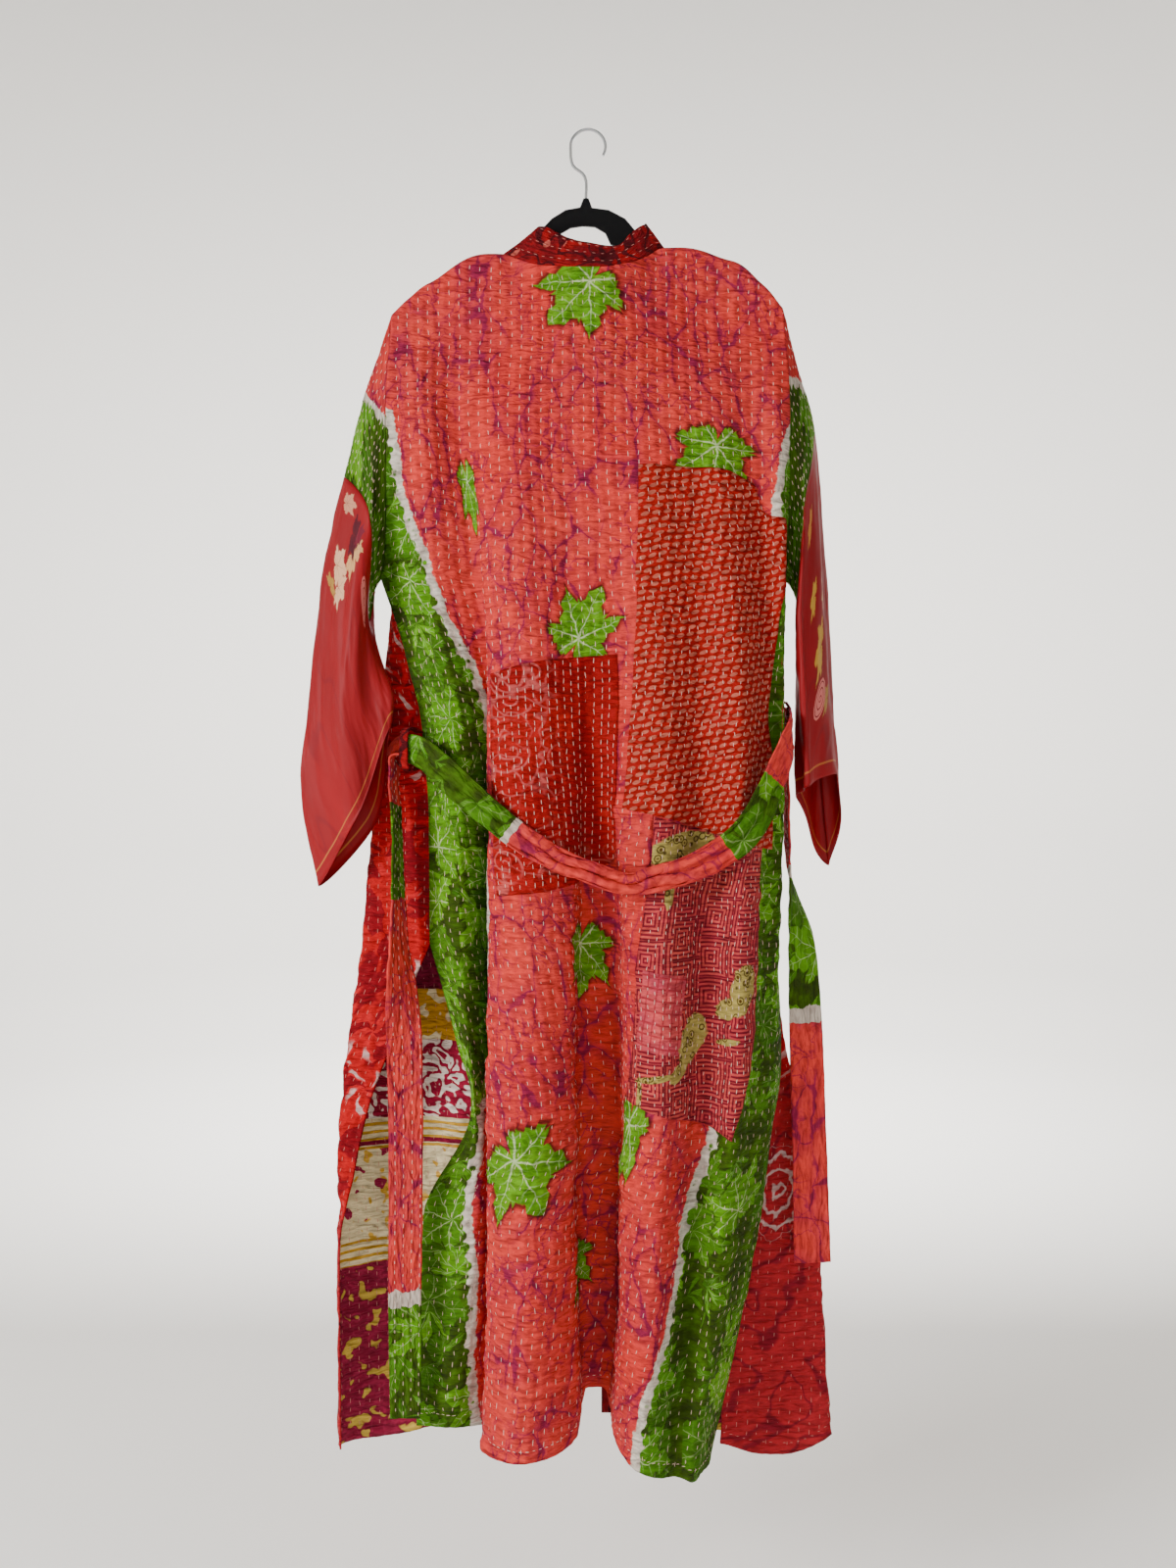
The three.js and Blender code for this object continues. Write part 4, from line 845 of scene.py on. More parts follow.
def back_print():
    """Coral cracked-wax cloth with single green leaves and a leafy border at each side."""
    paint = Paint("batik back")
    flat = paint.flat()
    inside, vein = leaf_shape(paint, nearest_leaf(paint, flat, BACK_LEAVES))
    leaf = paint.mix(paint.noise(flat, 40, 3.0).rise(0.4, 0.7), "#467a07", "#639714")
    leaf = paint.mix(vein * 0.8, leaf, "#b8c694")
    colour = paint.mix(inside.rise(-0.13, -0.02) * 0.85, batik(paint, flat), "#3d1208")
    colour = paint.mix(inside.rise(0.0, 0.03), colour, leaf)
    return paint.cloth(stripe(paint, flat, leaf_field(paint, flat), colour), flat)


def cap_print(side):
    """Border cloth of the sleeve top, with the pale jagged stripe near the armhole."""
    paint = Paint(f"leafy cap {side}")
    flat = paint.flat()
    return paint.cloth(stripe(paint, flat, leaf_field(paint, flat), batik(paint, flat)), flat)


def coral_print():
    """Coral cracked-wax cloth of the small patch."""
    paint = Paint("coral patch")
    flat = paint.flat()
    return paint.cloth(batik(paint, flat), flat)


def inner_print():
    """Plain rose cloth of the back's inner side."""
    paint = Paint("inside of the back")
    flat = paint.flat()
    clouds = paint.noise(flat, 14, 4.0).rise(0.35, 0.65)
    return paint.cloth(paint.mix(clouds, "#a3202c", "#7c1428"), flat, 0.5)


def round_cells(paint, vector, scale, random):
    """Distance in millimetres from the nearest of scattered places, and the direction from it."""
    place = paint.cells(vector, scale, out="Position", random=random)
    x, y, _ = paint.split(paint.vector("SUBTRACT", vector, place))
    return (x * x + y * y).root() * 1000.0, y.angle_over(x)


def scroll_print():
    """Deep red, plain toward the right, with pale curling scrolls on its left part and foot."""
    paint = Paint("scroll patch")
    flat = paint.flat()
    bent = paint.wobbled(flat, 14, 0.03, 1.0)
    far, angle = round_cells(paint, bent, 15, 0.7)
    curl = abs(((far / 14.0 + angle / (2 * math.pi)).part()) - 0.5)
    line = (1.0 - (curl * 14.0 / 1.5).rise(0.5, 1.1)) * (1.0 - far.rise(24.0, 34.0))
    fronds = abs(paint.noise(bent, 34, 1.0) - 0.5)
    line = line.most((1.0 - (fronds / 0.03).rise(0.4, 1.0)) * 0.9)
    u, v, _ = paint.split(flat)
    side = (1.0 - (u * 1000.0).rise(-62.0, -34.0)).most((1.0 - (v * 1000.0).rise(-846.0, -820.0)) * 0.8)
    keep = paint.noise(flat, 16, 1.0).rise(0.36, 0.5)
    deep = paint.mix(paint.noise(flat, 12, 2.0).rise(0.4, 0.65), "#840a0d", "#9a130f")
    return paint.cloth(paint.mix(line * keep * side * 0.44, deep, "#cf6a66"), flat)


def oval_print():
    """Brick red with slanting rows of tan ovals."""
    paint = Paint("oval patch")
    flat = paint.wobbled(paint.flat(), 26, 0.005, 1.0)
    x, y, _ = paint.split(paint.mapped(flat, (1 / 0.0122, 1 / 0.0074, 1), -15))
    dy = y.part() - 0.5
    dx = ((x + (y.floor() * 0.5).part()).part() - 0.5) + dy * -0.45
    spot = dx * dx / 0.155 + dy * dy / 0.1
    tan = paint.mix(paint.noise(flat, 120, 2.0).rise(0.3, 0.7), "#a04e40", "#b25c4a")
    ground = paint.mix(paint.noise(flat, 20, 2.0), "#840b0a", "#9a150e")
    return paint.cloth(paint.mix(1.0 - spot.rise(0.72, 1.05), ground, tan), flat)


# Olive plumes and sprigs of the rose patch: across, height, turn in degrees, half width and half height
PLUMES = [
    (128, -826, 12, 44, 20), (166, -1034, -28, 19, 31), (146, -1068, -60, 9, 18),
    (112, -1073, 10, 28, 4), (92, -1094, 0, 4, 24), (236, -978, -14, 19, 30),
    (214, -1000, 20, 20, 12), (120, -873, 0, 6, 18), (216, -1036, 8, 18, 4),
]
# Side of the nested squares
SQUARE = 0.044


def diamond_print():
    """Rose red with maroon lines nested in squares, a checked panel and olive plumes."""
    paint = Paint("nested squares patch")
    flat = paint.flat()
    u, v, _ = paint.split(paint.wobbled(flat, 30, 0.003, 1.0))
    du = abs((u / SQUARE + 0.2).part() - 0.5) * SQUARE
    dv = abs((v / SQUARE + (u / SQUARE).floor() * 0.5).part() - 0.5) * SQUARE
    line = 1.0 - abs((du.most(dv) / 0.0046).part() - 0.5).rise(0.19, 0.27)
    rose = paint.mix(paint.noise(flat, 18, 3.0).rise(0.35, 0.65), "#b8443e", "#a8343a")
    colour = paint.mix(line * 0.9, rose, "#62081f")
    across, up, _ = paint.split(paint.placed(flat, 0.122, -1.003, -8, 0.029, 0.043))
    check = ((across * 2.6).part() < 0.16).most((up * 3.4).part() < 0.16)
    panel = paint.mix(paint.noise(flat, 30, 2.0).rise(0.4, 0.6), "#c2484a", "#a83a48")
    panel = paint.mix(check * 0.7, panel, "#8c1c28")
    colour = paint.mix(abs(across).most(abs(up)) < 1.0, colour, panel)
    eye = paint.cells(flat, 95)
    plume = paint.mix(eye.rise(0.16, 0.24), "#4a3410", "#9a8a48")
    plume = paint.mix(eye.rise(0.3, 0.36) * (1.0 - eye.rise(0.42, 0.48)), plume, "#4a3c18")
    for shape in PLUMES:
        here = paint.wobbled(paint.placed_mm(flat, *shape), 3, 0.45, 2.0)
        blob = paint.vector("LENGTH", here, out="Value")
        colour = paint.mix(1.0 - blob.rise(0.92, 1.0), colour, plume)
    return paint.cloth(colour, flat)


def flower_print(side):
    """Red cloth of a front with white petals and maroon shade, plainer at its foot."""
    paint = Paint(f"flower front {side}")
    flat = paint.flat()
    bent = paint.wobbled(flat, 30, 0.03, 2.0)
    far, angle = round_cells(paint, bent, 13, 0.9)
    petals = (angle * 5.0 + far * 0.16).sine()
    feather = (paint.noise(bent, 26, 1.0) * 9.0 + angle * 2.0).sine()
    near = 1.0 - far.rise(26, 30)
    dark = paint.mix(feather.rise(-0.1, 0.3), "#7a0714", "#a80d12")
    colour = paint.mix((petals > 0.1) * near, dark, "#b3161c")
    white = (petals > 0.74) * far.rise(10, 14) * near * feather.rise(-0.5, 0.1)
    colour = paint.mix(white * paint.noise(flat, 6, 1.0).rise(0.47, 0.5) * 0.8, colour, "#c3a7a2")
    _, v, _ = paint.split(flat)
    join = {"left": -1265.0, "right": -1090.0}[side]
    swirl = 1.0 - abs((paint.noise(bent, 10, 1.0) * 6.0).part() - 0.5).rise(0.03, 0.09)
    plain = paint.mix(swirl * 0.8, "#9e1e26", "#6c0e20")
    colour = paint.mix(1.0 - (v * 1000.0).rise(join - 25.0, join + 25.0), colour, plain)
    if side == "right":
        here = paint.wobbled(paint.placed(flat, 0.044, -1.226, 0, 0.040, 0.056), 3, 0.5, 2.0)
        out = paint.vector("LENGTH", here, out="Value")
        ring = (1.0 - abs((out * 3.4).part() - 0.5).rise(0.1, 0.2)) * (1.0 - out.rise(0.98, 1.0))
        colour = paint.mix(ring * 0.85, colour, "#c3a7a2")
    return paint.cloth(colour, flat)


def lining_print():
    """Inside of the fronts: bands of maroon, mustard, cream and flowers."""
    paint = Paint("banded lining")
    flat = paint.flat()
    _, v, _ = paint.split(flat)
    height = v * 1000.0 + (paint.noise(flat, 60, 2.0) - 0.5) * 2.0
    bent = paint.wobbled(flat, 50, 0.016, 2.0)
    blot = paint.noise(bent, 55, 1.0)
    spots = blot.rise(0.58, 0.61)
    maroon = paint.mix((1.0 - abs(blot - 0.5).rise(0.02, 0.05)) * 0.5, "#7a1630", "#962442")
    mustard = paint.mix(blot.rise(0.56, 0.6), "#c08a1e", "#e2cfa0")
    paisley = paint.mix(abs((blot * 4.0).part() - 0.5).rise(0.2, 0.27), "#e0cdc0", "#8c1430")
    cream = paint.mix(spots, "#d8c79b", "#c79a3a")
    cream = paint.mix(paint.noise(bent, 42, 1.0) > 0.62, cream, "#8a1c3c")
    stripes = paint.mix(abs((height / 9.0).part() - 0.5) < 0.2, "#d8c79b", "#b98c2c")
    flowers = paint.mix(spots, maroon, "#b99a3c")
    colour = maroon
    for top, band in ((-1000, mustard), (-1060, paisley), (-1150, stripes), (-1185, cream),
                      (-1290, stripes), (-1318, flowers)):
        colour = paint.mix(height < top, colour, band)
    return paint.cloth(paint.mix(abs(height + 1178.0) < 2.5, colour, "#7c1430"), flat)


# Flowers and leaves on the silk: across, height from the cap, turn, half width, half height and colour
SILK_SHAPES = {
    "left": [
        (-54, -24, 20, 15, 12, "#a8745a"), (-20, -66, -16, 12, 24, "#b08456"),
        (-10, -50, -34, 9, 22, "#b08456"), (-28, -46, 0, 13, 25, "#3c0614"),
        (-14, -36, -24, 8, 20, "#5a0c20"), (-46, -93, 16, 16, 22, "#bd9270"),
        (-35, -112, -12, 9, 24, "#bd9270"), (-54, -120, 60, 8, 15, "#8c6a2c"),
    ],
    "right": [
        (-52, -218, 10, 13, 30, "#a8802c"), (-60, -286, 30, 9, 13, "#8c6a2c"),
        (-42, -150, 10, 7, 20, "#a8802c"), (-36, -62, 8, 5, 22, "#a06a2c"),
        (-70, -170, 0, 9, 20, "#a87a50"),
    ],
}
# A round rose on each: across, height from the cap, turn, half width and half height
SILK_ROSES = {"left": (30, -60, 0, 14, 17), "right": (-44, -268, 0, 14, 17)}


def silk_print(side):
    """Thin deep red silk with tan flowers and leaves below the cap and a gold line at the cuff."""
    paint = Paint(f"silk {side}", 0.55)
    flat = paint.flat()
    u, _, _ = paint.split(flat)
    colour = paint.mix(paint.noise(flat, 7, 3.0).rise(0.3, 0.7), "#6e060d", "#840b13")
    vines = 1.0 - abs(paint.noise(paint.wobbled(flat, 12, 0.03, 1.0), 9, 0.5) - 0.5).rise(0.004, 0.012)
    colour = paint.mix(vines * 0.4, colour, "#5c0814")
    where = paint.join(u * 1000.0, -paint.attribute("drop"))
    for *shape, tint in SILK_SHAPES[side]:
        here = paint.placed(where, *shape)
        inside, vein = leaf_shape(paint, paint.vector("MULTIPLY", here, (0.8, 0.8, 1.0)))
        colour = paint.mix(inside.rise(0.0, 0.06), colour, paint.mix(vein * 0.6, tint, "#5c0814"))
    here = paint.wobbled(paint.placed(where, *SILK_ROSES[side]), 2, 0.2, 1.0)
    out = paint.vector("LENGTH", here, out="Value")
    petals = paint.mix(abs((out * 3.0).part() - 0.5) < 0.1, "#b8625c", "#5c0814")
    colour = paint.mix(out < 1.0, colour, petals)
    colour = paint.mix((abs(paint.attribute("left") - 16.0) < 1.2) * 0.7, colour, "#a3602c")
    paint.colour(colour)
    paint.shader.inputs["Specular IOR Level"].default_value = 0.14
    paint.bump(paint.noise(paint.mapped(flat, (220, 60, 1)), 1.0, 3.0), 0.2, 0.001)
    return paint.material


def band_print():
    """Deep red of the neck band with brighter blotches and small dark shapes."""
    paint = Paint("neck band cloth")
    flat = paint.flat()
    bent = paint.wobbled(flat, 40, 0.02, 2.0)
    colour = paint.mix(paint.noise(bent, 30, 2.0).rise(0.45, 0.6), "#6c0810", "#920d12")
    colour = paint.mix(abs(paint.noise(bent, 26, 1.0) - 0.5) < 0.03, colour, "#45060e")
    return paint.cloth(paint.mix(paint.noise(bent, 45, 1.0) > 0.7, colour, "#a84a40"), flat)


def belt_print():
    """Belt: coral, green and pale joins along its length, from the left tip to the right."""
    paint = Paint("belt cloth")
    flat = paint.flat()
    place = paint.attribute("place") + (paint.noise(flat, 110, 3.0) - 0.5) * 0.12
    kinds = {"coral": batik(paint, flat), "green": leaf_field(paint, flat), "pale": "#b3a598"}
    colour = kinds["green"]
    for start, kind in BELT_PARTS[1:]:
        colour = paint.mix(place > float(start), colour, kinds[kind])
    return paint.cloth(colour, paint.mapped(flat, turn=90))


# Joins between the coral middle and the leafy borders of the back: height and across, in cloth millimetres
BORDER_LEFT = (
    [-1500, -1417, -1300, -1194, -1135, -1077, -980, -870, -760, -634, -582, -508, -457, -406, -345, -310],
    [-200, -224, -245, -261, -262, -215, -175, -150, -150, -157, -172, -184, -202, -211, -216, -262])
BORDER_RIGHT = ([-1500, -1434, -1385, -1318, -1237, -1144, -900, -600, -447, -426, -385, -351, -320],
                [160, 162, 170, 187, 192, 194, 205, 215, 223, 227, 234, 246, 275])

# Patches: slot and flat size in metres; side edges as height and across, top and bottom edges as across and
# height; then the distance between rows and stitches, the lift off the back and half a stitch's length
PATCHES = {
    "patch_deep_red": {
        "slot": "deep_red_cloth", "flat": (0.17, 0.26),
        "left": ([-890, -760, -620], [-134, -126, -117]), "right": ([-840, -720, -610], [41, 36, 31]),
        "top": ([-118, -21, 32], [-633, -616, -612]), "bottom": ([-134, -41, 41], [-878, -866, -836]),
        "rows": 8.8, "step": 9.6, "lift": 1.2, "long": 3.5},
    "patch_brick": {
        "slot": "brick_cloth", "flat": (0.2, 0.42),
        "left": ([-790, -648, -541, -400], [49, 50, 58, 66]),
        "right": ([-830, -720, -645, -579, -500, -455], [262, 240, 229, 232, 246, 240]),
        "top": ([60, 121, 201, 209, 240], [-403, -405, -419, -448, -460]),
        "bottom": ([49, 111, 205, 262], [-782, -794, -819, -828]),
        "rows": 10.0, "step": 11.5, "lift": 1.9, "long": 2.8},
    "patch_coral": {
        "slot": "coral_cloth", "flat": (0.05, 0.09),
        "left": ([-870, -780], [47, 37]), "right": ([-870, -780], [94, 84]),
        "top": ([37, 85], [-779, -782]), "bottom": ([47, 94], [-868, -868]),
        "rows": 11.0, "step": 12.0, "lift": 1.5, "long": 3.0},
    "patch_rose": {
        "slot": "rose_cloth", "flat": (0.17, 0.33),
        "left": ([-1100, -969, -860, -790], [71, 88, 93, 86]),
        "right": ([-1140, -1123, -981, -830], [230, 234, 261, 244]),
        "top": ([86, 127, 244], [-790, -800, -824]), "bottom": ([71, 133, 232], [-1100, -1115, -1141]),
        "rows": 9.0, "step": 10.0, "lift": 1.2, "long": 2.9},
}

# Belt from its left tip to its right: middle, direction across and width
BELT = [
    ((-203, -54, -1459), (1, 0, 0.1), 34), ((-203, -56, -1320), (1, 0.1, 0), 37),
    ((-202, -56, -1180), (1, 0.1, 0), 38), ((-204, -54, -1040), (0.95, 0.3, 0), 40),
    ((-211, -50, -930), (0.35, 0.94, 0), 41), ((-213, -46, -830), (0.1, 1, 0), 42),
    ((-216, -40, -780), (0.1, 1, 0.1), 38), ((-220, -31, -748), (0.1, 0.9, 0.4), 32),
    ((-217, -23, -718), (0.1, 0.15, 1), 31), ((-203, -35.5, -715), (0, 0, 1), 33),
    ((-183, -53, -722), (0, 0, 1), 36), ((-160, -70, -740), (0, 0, 1), 36),
    ((-107, -84, -787), (0.3, 0, 1), 34), ((-63, -96, -820), (0.3, 0, 1), 32),
    ((-10, -100, -845), (0.1, 0, 1), 28), ((42, -102, -862), (0, 0, 1), 28),
    ((88, -104, -853), (-0.1, 0, 1), 32), ((130, -103, -836), (-0.3, 0, 1), 36),
    ((170, -102, -806), (-0.3, 0, 1), 36), ((202, -86, -750), (0, 0, 1), 34),
    ((223, -64, -702), (0, 0, 1), 33), ((227, -40, -687), (0, 0, 1), 33),
    ((226, -20, -684), (0, 0, 1), 33), ((227, -2, -685), (0, 0.05, 1), 33),
    ((229, 9, -703), (0.05, 0.75, 0.65), 33), ((229, -3, -745), (0.05, 1, 0), 36),
    ((229, -22, -850), (0.1, 1, 0), 38), ((240, -36, -930), (0.8, 0.6, 0), 40),
    ((246, -34, -1040), (1, 0.2, 0), 40), ((250, -32, -1160), (1, 0.1, 0), 40),
    ((254, -30, -1296), (1, 0, 0), 42),
]
# Where each colour of the belt starts, as a place in that list
BELT_PARTS = [
    (0, "green"), (0.9, "pale"), (1.03, "coral"), (4.45, "green"), (6.05, "coral"), (8.4, "green"),
    (12.48, "pale"), (12.62, "coral"), (17.5, "green"), (19.0, "coral"), (26.0, "pale"),
    (26.15, "green"), (27.7, "pale"), (27.85, "coral"),
]
# How deep the belt is crumpled along that list
BELT_CRUMPLE = ([0, 10.5, 12.5, 15, 17.5, 19.5, 30], [0.3, 0.6, 2.2, 2.6, 2.0, 0.5, 0.4])

# Edge of the leafy border on each sleeve cap: its height at an x, and how it slopes
CAP_BORDER = {"left": (-327, -240, 1.33), "right": (-293, 0, 0.0)}

# Belt loops: start, direction away from the seam, how far they stand out and their height
LOOPS = {
    "belt_loop_left": ((-191.5, -19.6, -716), (-0.6, -0.8), 25, 48),
    "belt_loop_right": ((220.1, -18, -684), (1, 0), 9.8, 46),
}


def give(piece, name, values):
    """Named number on every point of a piece; the inner side repeats the outer one."""
    layer = piece.data.attributes.new(name, "FLOAT", "POINT")
    layer.data.foreach_set("value", np.concatenate([np.asarray(values, float).ravel()] * 2))


def in_patch(u, v, name, margin):
    """Whether places on the cloth lie within a patch, at least the margin from its edges."""
    p = PATCHES[name]
    return ((u > smooth(*p["left"], v) + margin) & (u < smooth(*p["right"], v) - margin)
            & (v < smooth(*p["top"], u) - margin) & (v > smooth(*p["bottom"], u) + margin))


def patch_grid(name, columns, rows):
    """Cloth coordinates of a grid that fills a patch, fitted to its curved edges by turns."""
    p = PATCHES[name]
    a, b = np.meshgrid(np.linspace(0, 1, columns + 1), np.linspace(0, 1, rows + 1))
    u = smooth(*p["left"], -700 + 0 * a) * (1 - a) + smooth(*p["right"], -700 + 0 * a) * a
    for _ in range(8):
        v = smooth(*p["top"], u) * (1 - b) + smooth(*p["bottom"], u) * b
        u = smooth(*p["left"], v) * (1 - a) + smooth(*p["right"], v) * a
    return u, v


def share_at(panel, u, v):
    """Share of a panel's width at a distance across and a height."""
    return u / np.interp(v, panel.levels, panel.width) + panel.centre


def stitch_tree(material):
    """Short thread lying on the cloth at every point, turned along its row."""
    tree = bpy.data.node_groups.new("running stitch", "GeometryNodeTree")
    tree.interface.new_socket("Places", in_out="INPUT", socket_type="NodeSocketGeometry")
    tree.interface.new_socket("Thickness", in_out="INPUT", socket_type="NodeSocketFloat")
    tree.interface.new_socket("Stitches", in_out="OUTPUT", socket_type="NodeSocketGeometry")

    def node(kind, **settings):
        made = tree.nodes.new(kind)
        for key, value in settings.items():
            setattr(made, key, value)
        return made

    def attribute(name, kind):
        made = node("GeometryNodeInputNamedAttribute", data_type=kind)
        made.inputs["Name"].default_value = name
        return made.outputs["Attribute"]

    start, end = node("NodeGroupInput"), node("NodeGroupOutput")
    points = node("GeometryNodeMeshToPoints")
    ball = node("GeometryNodeMeshIcoSphere")
    ball.inputs["Radius"].default_value = 1.0
    ball.inputs["Subdivisions"].default_value = 1
    place = node("GeometryNodeInstanceOnPoints")
    first = node("FunctionNodeAlignRotationToVector", axis="X")
    second = node("FunctionNodeAlignRotationToVector", axis="Z", pivot_axis="X")
    size = node("ShaderNodeCombineXYZ")
    flatter = node("ShaderNodeMath", operation="MULTIPLY")
    flatter.inputs[1].default_value = 0.6
    real = node("GeometryNodeRealizeInstances")
    paint = node("GeometryNodeSetMaterial")
    paint.inputs["Material"].default_value = material
    for source, target in (
            (start.outputs["Places"], points.inputs["Mesh"]),
            (points.outputs["Points"], place.inputs["Points"]),
            (ball.outputs["Mesh"], place.inputs["Instance"]),
            (attribute("along", "FLOAT_VECTOR"), first.inputs["Vector"]),
            (first.outputs["Rotation"], second.inputs["Rotation"]),
            (attribute("out", "FLOAT_VECTOR"), second.inputs["Vector"]),
            (second.outputs["Rotation"], place.inputs["Rotation"]),
            (attribute("long", "FLOAT"), size.inputs["X"]),
            (start.outputs["Thickness"], size.inputs["Y"]),
            (start.outputs["Thickness"], flatter.inputs[0]),
            (flatter.outputs[0], size.inputs["Z"]),
            (size.outputs[0], place.inputs["Scale"]),
            (place.outputs["Instances"], real.inputs["Geometry"]),
            (real.outputs["Geometry"], paint.inputs["Geometry"]),
            (paint.outputs["Geometry"], end.inputs[0])):
        tree.links.new(source, target)
    return tree


def sew_stitches(name, tree, sets):
    """One plain mesh of stitches from sets of middles, directions along and out, and half lengths."""
    spots, along, out, half = (np.concatenate(values) for values in zip(*sets))
    spots, half = spots / 1000.0, half / 1000.0
    mesh = bpy.data.meshes.new(name)
    mesh.from_pydata(spots.tolist(), [], [])
    for key, values in (("along", along), ("out", out)):
        mesh.attributes.new(key, "FLOAT_VECTOR", "POINT").data.foreach_set("vector", values.ravel())
    mesh.attributes.new("long", "FLOAT", "POINT").data.foreach_set("value", half)
    holder = bpy.data.objects.new(name, mesh)
    bpy.context.collection.objects.link(holder)
    modifier = holder.modifiers.new("stitches", "NODES")
    modifier.node_group = tree
    for item in tree.interface.items_tree:
        if item.item_type == "SOCKET" and item.in_out == "INPUT" and item.name == "Thickness":
            modifier[item.identifier] = THREAD_THICK / 1000.0
    bpy.context.view_layer.update()
    made = bpy.data.meshes.new_from_object(holder.evaluated_get(bpy.context.evaluated_depsgraph_get()))
    holder.modifiers.remove(modifier)
    bpy.data.objects.remove(holder)
    for key in ("along", "out", "long"):
        if key in made.attributes:
            made.attributes.remove(made.attributes[key])
    piece = bpy.data.objects.new(name, made)
    bpy.context.collection.objects.link(piece)
    return piece


def panel_stitches(panel, seed, rows=ROW_PITCH, step=12.5, half=3.3, lift=THREAD_LIFT, inside=None,
                   outside=(), side=1, cut=(0, 1)):
    """Rows of running stitches down a panel; side -1 puts them on its inner face."""
    rng = np.random.default_rng(seed)
    count = panel.width.max() / rows
    found = []
    for u in np.arange(-math.ceil(count) + 0.5, count) * rows:
        v = np.arange(-1540, -130, step) + rng.uniform(0, step)
        v = v + rng.uniform(-1.6, 1.6, len(v))
        uu = u + rows * 0.08 * rough(np.full(len(v), u), v, (7, 60), seed + 3)
        s = share_at(panel, uu, v)
        ok = (s > 0.012) & (s < 0.988) & (s > cut[0]) & (s < cut[1])
        ok &= (v < np.interp(s, SHARES, panel.tops) - 9) & (v > np.interp(s, SHARES, panel.hems) + 12)
        if inside:
            ok &= in_patch(uu, v, inside, 3.5)
        for name in outside:
            ok &= ~in_patch(uu, v, name, -2.0)
        found.append(np.stack([s[ok], v[ok]], -1))
    s, v = np.concatenate(found).T
    (low, _), (middle, out), (high, _) = (cloth_at(panel, s, v + up, lift) for up in (-2.5, 0, 2.5))
    along = normalised(high - low)
    out = normalised(out - along * (out * along).sum(-1, keepdims=True))
    if side < 0:
        middle = middle - out * (QUILT_THICK + 2 * lift)
        out = -out
    tilt = rng.normal(0, 0.07, len(s))[:, None]
    along = normalised(along + np.cross(out, along) * tilt)
    return middle, along, out, half * rng.uniform(0.7, 1.15, len(s))


def hem_stitches(panel, seed, up=14.0, step=7.5, half=2.2):
    """One row of stitches along a panel's hem."""
    rng = np.random.default_rng(seed)
    s = np.arange(0.01, 0.99, step / np.interp(-1400, panel.levels, panel.width))
    v = np.interp(s, SHARES, panel.hems) + up
    middle, out = cloth_at(panel, s, v, THREAD_LIFT)
    left, right = (cloth_at(panel, s + d, v, THREAD_LIFT)[0] for d in (-0.004, 0.004))
    return middle, normalised(right - left), out, half * rng.uniform(0.7, 1.2, len(s))


def grid_stitches(points, outs, seed, step, down=False, every=4, half=2.6, lift=0.15):
    """Running stitches along the rows of a grid of points, or down its columns."""
    rng = np.random.default_rng(seed)
    if down:
        points, outs = np.swapaxes(points, 0, 1), np.swapaxes(outs, 0, 1)
    rows = []
    for k in range(every // 2 + 1, points.shape[0] - 1, every):
        far = reach(points[k])
        spots = np.arange(rng.uniform(3, step), far[-1] - 3, step) + rng.uniform(-1, 1)
        at, ahead = (along_line(spots + d, far, points[k]) for d in (0, 2.5))
        out = normalised(along_line(spots, far, outs[k]))
        rows.append((at + out * lift, normalised(ahead - at), out))
    middle, along, out = map(np.concatenate, zip(*rows))
    return middle, along, out, half * rng.uniform(0.7, 1.15, len(middle))


# The pieces of cloth
columns, rows = ((186, 250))
back, back_flat = make_panel("back", back_panel, columns, rows, [back_print(), inner_print()])
u, v = back_flat[..., 0], back_flat[..., 1]
give(back, "border", np.minimum(u - smooth(*BORDER_LEFT, v), smooth(*BORDER_RIGHT, v) - u))

columns, rows = ((74, 240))
inner_cloth = lining_print()
fronts = {side: make_panel(f"front_{side}", front_panels[side], columns, rows,
                           [flower_print(side), inner_cloth])[0] for side in SIDES}

band_cloth = band_print()
band, band_points, band_outs = make_band(band_cloth)

caps, ends, cap_threads = {}, {}, {}
thread_tree = stitch_tree(Paint("pale thread", 0.8).colour("#d6b3a5").material)
rosy_tree = stitch_tree(Paint("rosy thread", 0.8).colour("#b8736a").material)
for side in SIDES:
    cap, end = make_sleeve(side, cap_print(side), silk_print(side))
    caps[side], points, outs, _ = cap
    ends[side], _, _, flat = end
    edge_height, edge_x, slope = CAP_BORDER[side]
    give(caps[side], "border", points[..., 2] - edge_height + slope * (points[..., 0] - edge_x))
    height = flat[..., 1]
    give(ends[side], "drop", height[:1] - height)
    give(ends[side], "left", height - height[-1:])
    cap_threads[side] = sew_stitches(f"sleeve_cap_{side}_thread", thread_tree,
                                     [grid_stitches(points, outs, 41, 12.0, down=True)])

patch_cloths = {"patch_deep_red": scroll_print(), "patch_brick": oval_print(), "patch_coral": coral_print(),
                "patch_rose": diamond_print()}
patches, patch_threads = {}, {}
cell = 4.5
for k, (name, about) in enumerate(PATCHES.items()):
    wide = about["right"][1][0] - about["left"][1][0]
    tall = about["top"][1][0] - about["bottom"][1][0]
    u, v = patch_grid(name, max(6, int(wide / cell)), max(6, int(tall / cell)))
    points, outs = cloth_at(back_panel, share_at(back_panel, u, v), v, about["lift"])
    patches[name] = cloth_mesh(name + "_cloth", points, outs, PATCH_THICK, np.stack([u, v], -1),
                               [patch_cloths[name]])
    sewn = panel_stitches(back_panel, 20 + k, about["rows"], about["step"], about["long"],
                          about["lift"] + 0.12, inside=name)
    patch_threads[name] = sew_stitches(name + "_thread", thread_tree, [sewn])

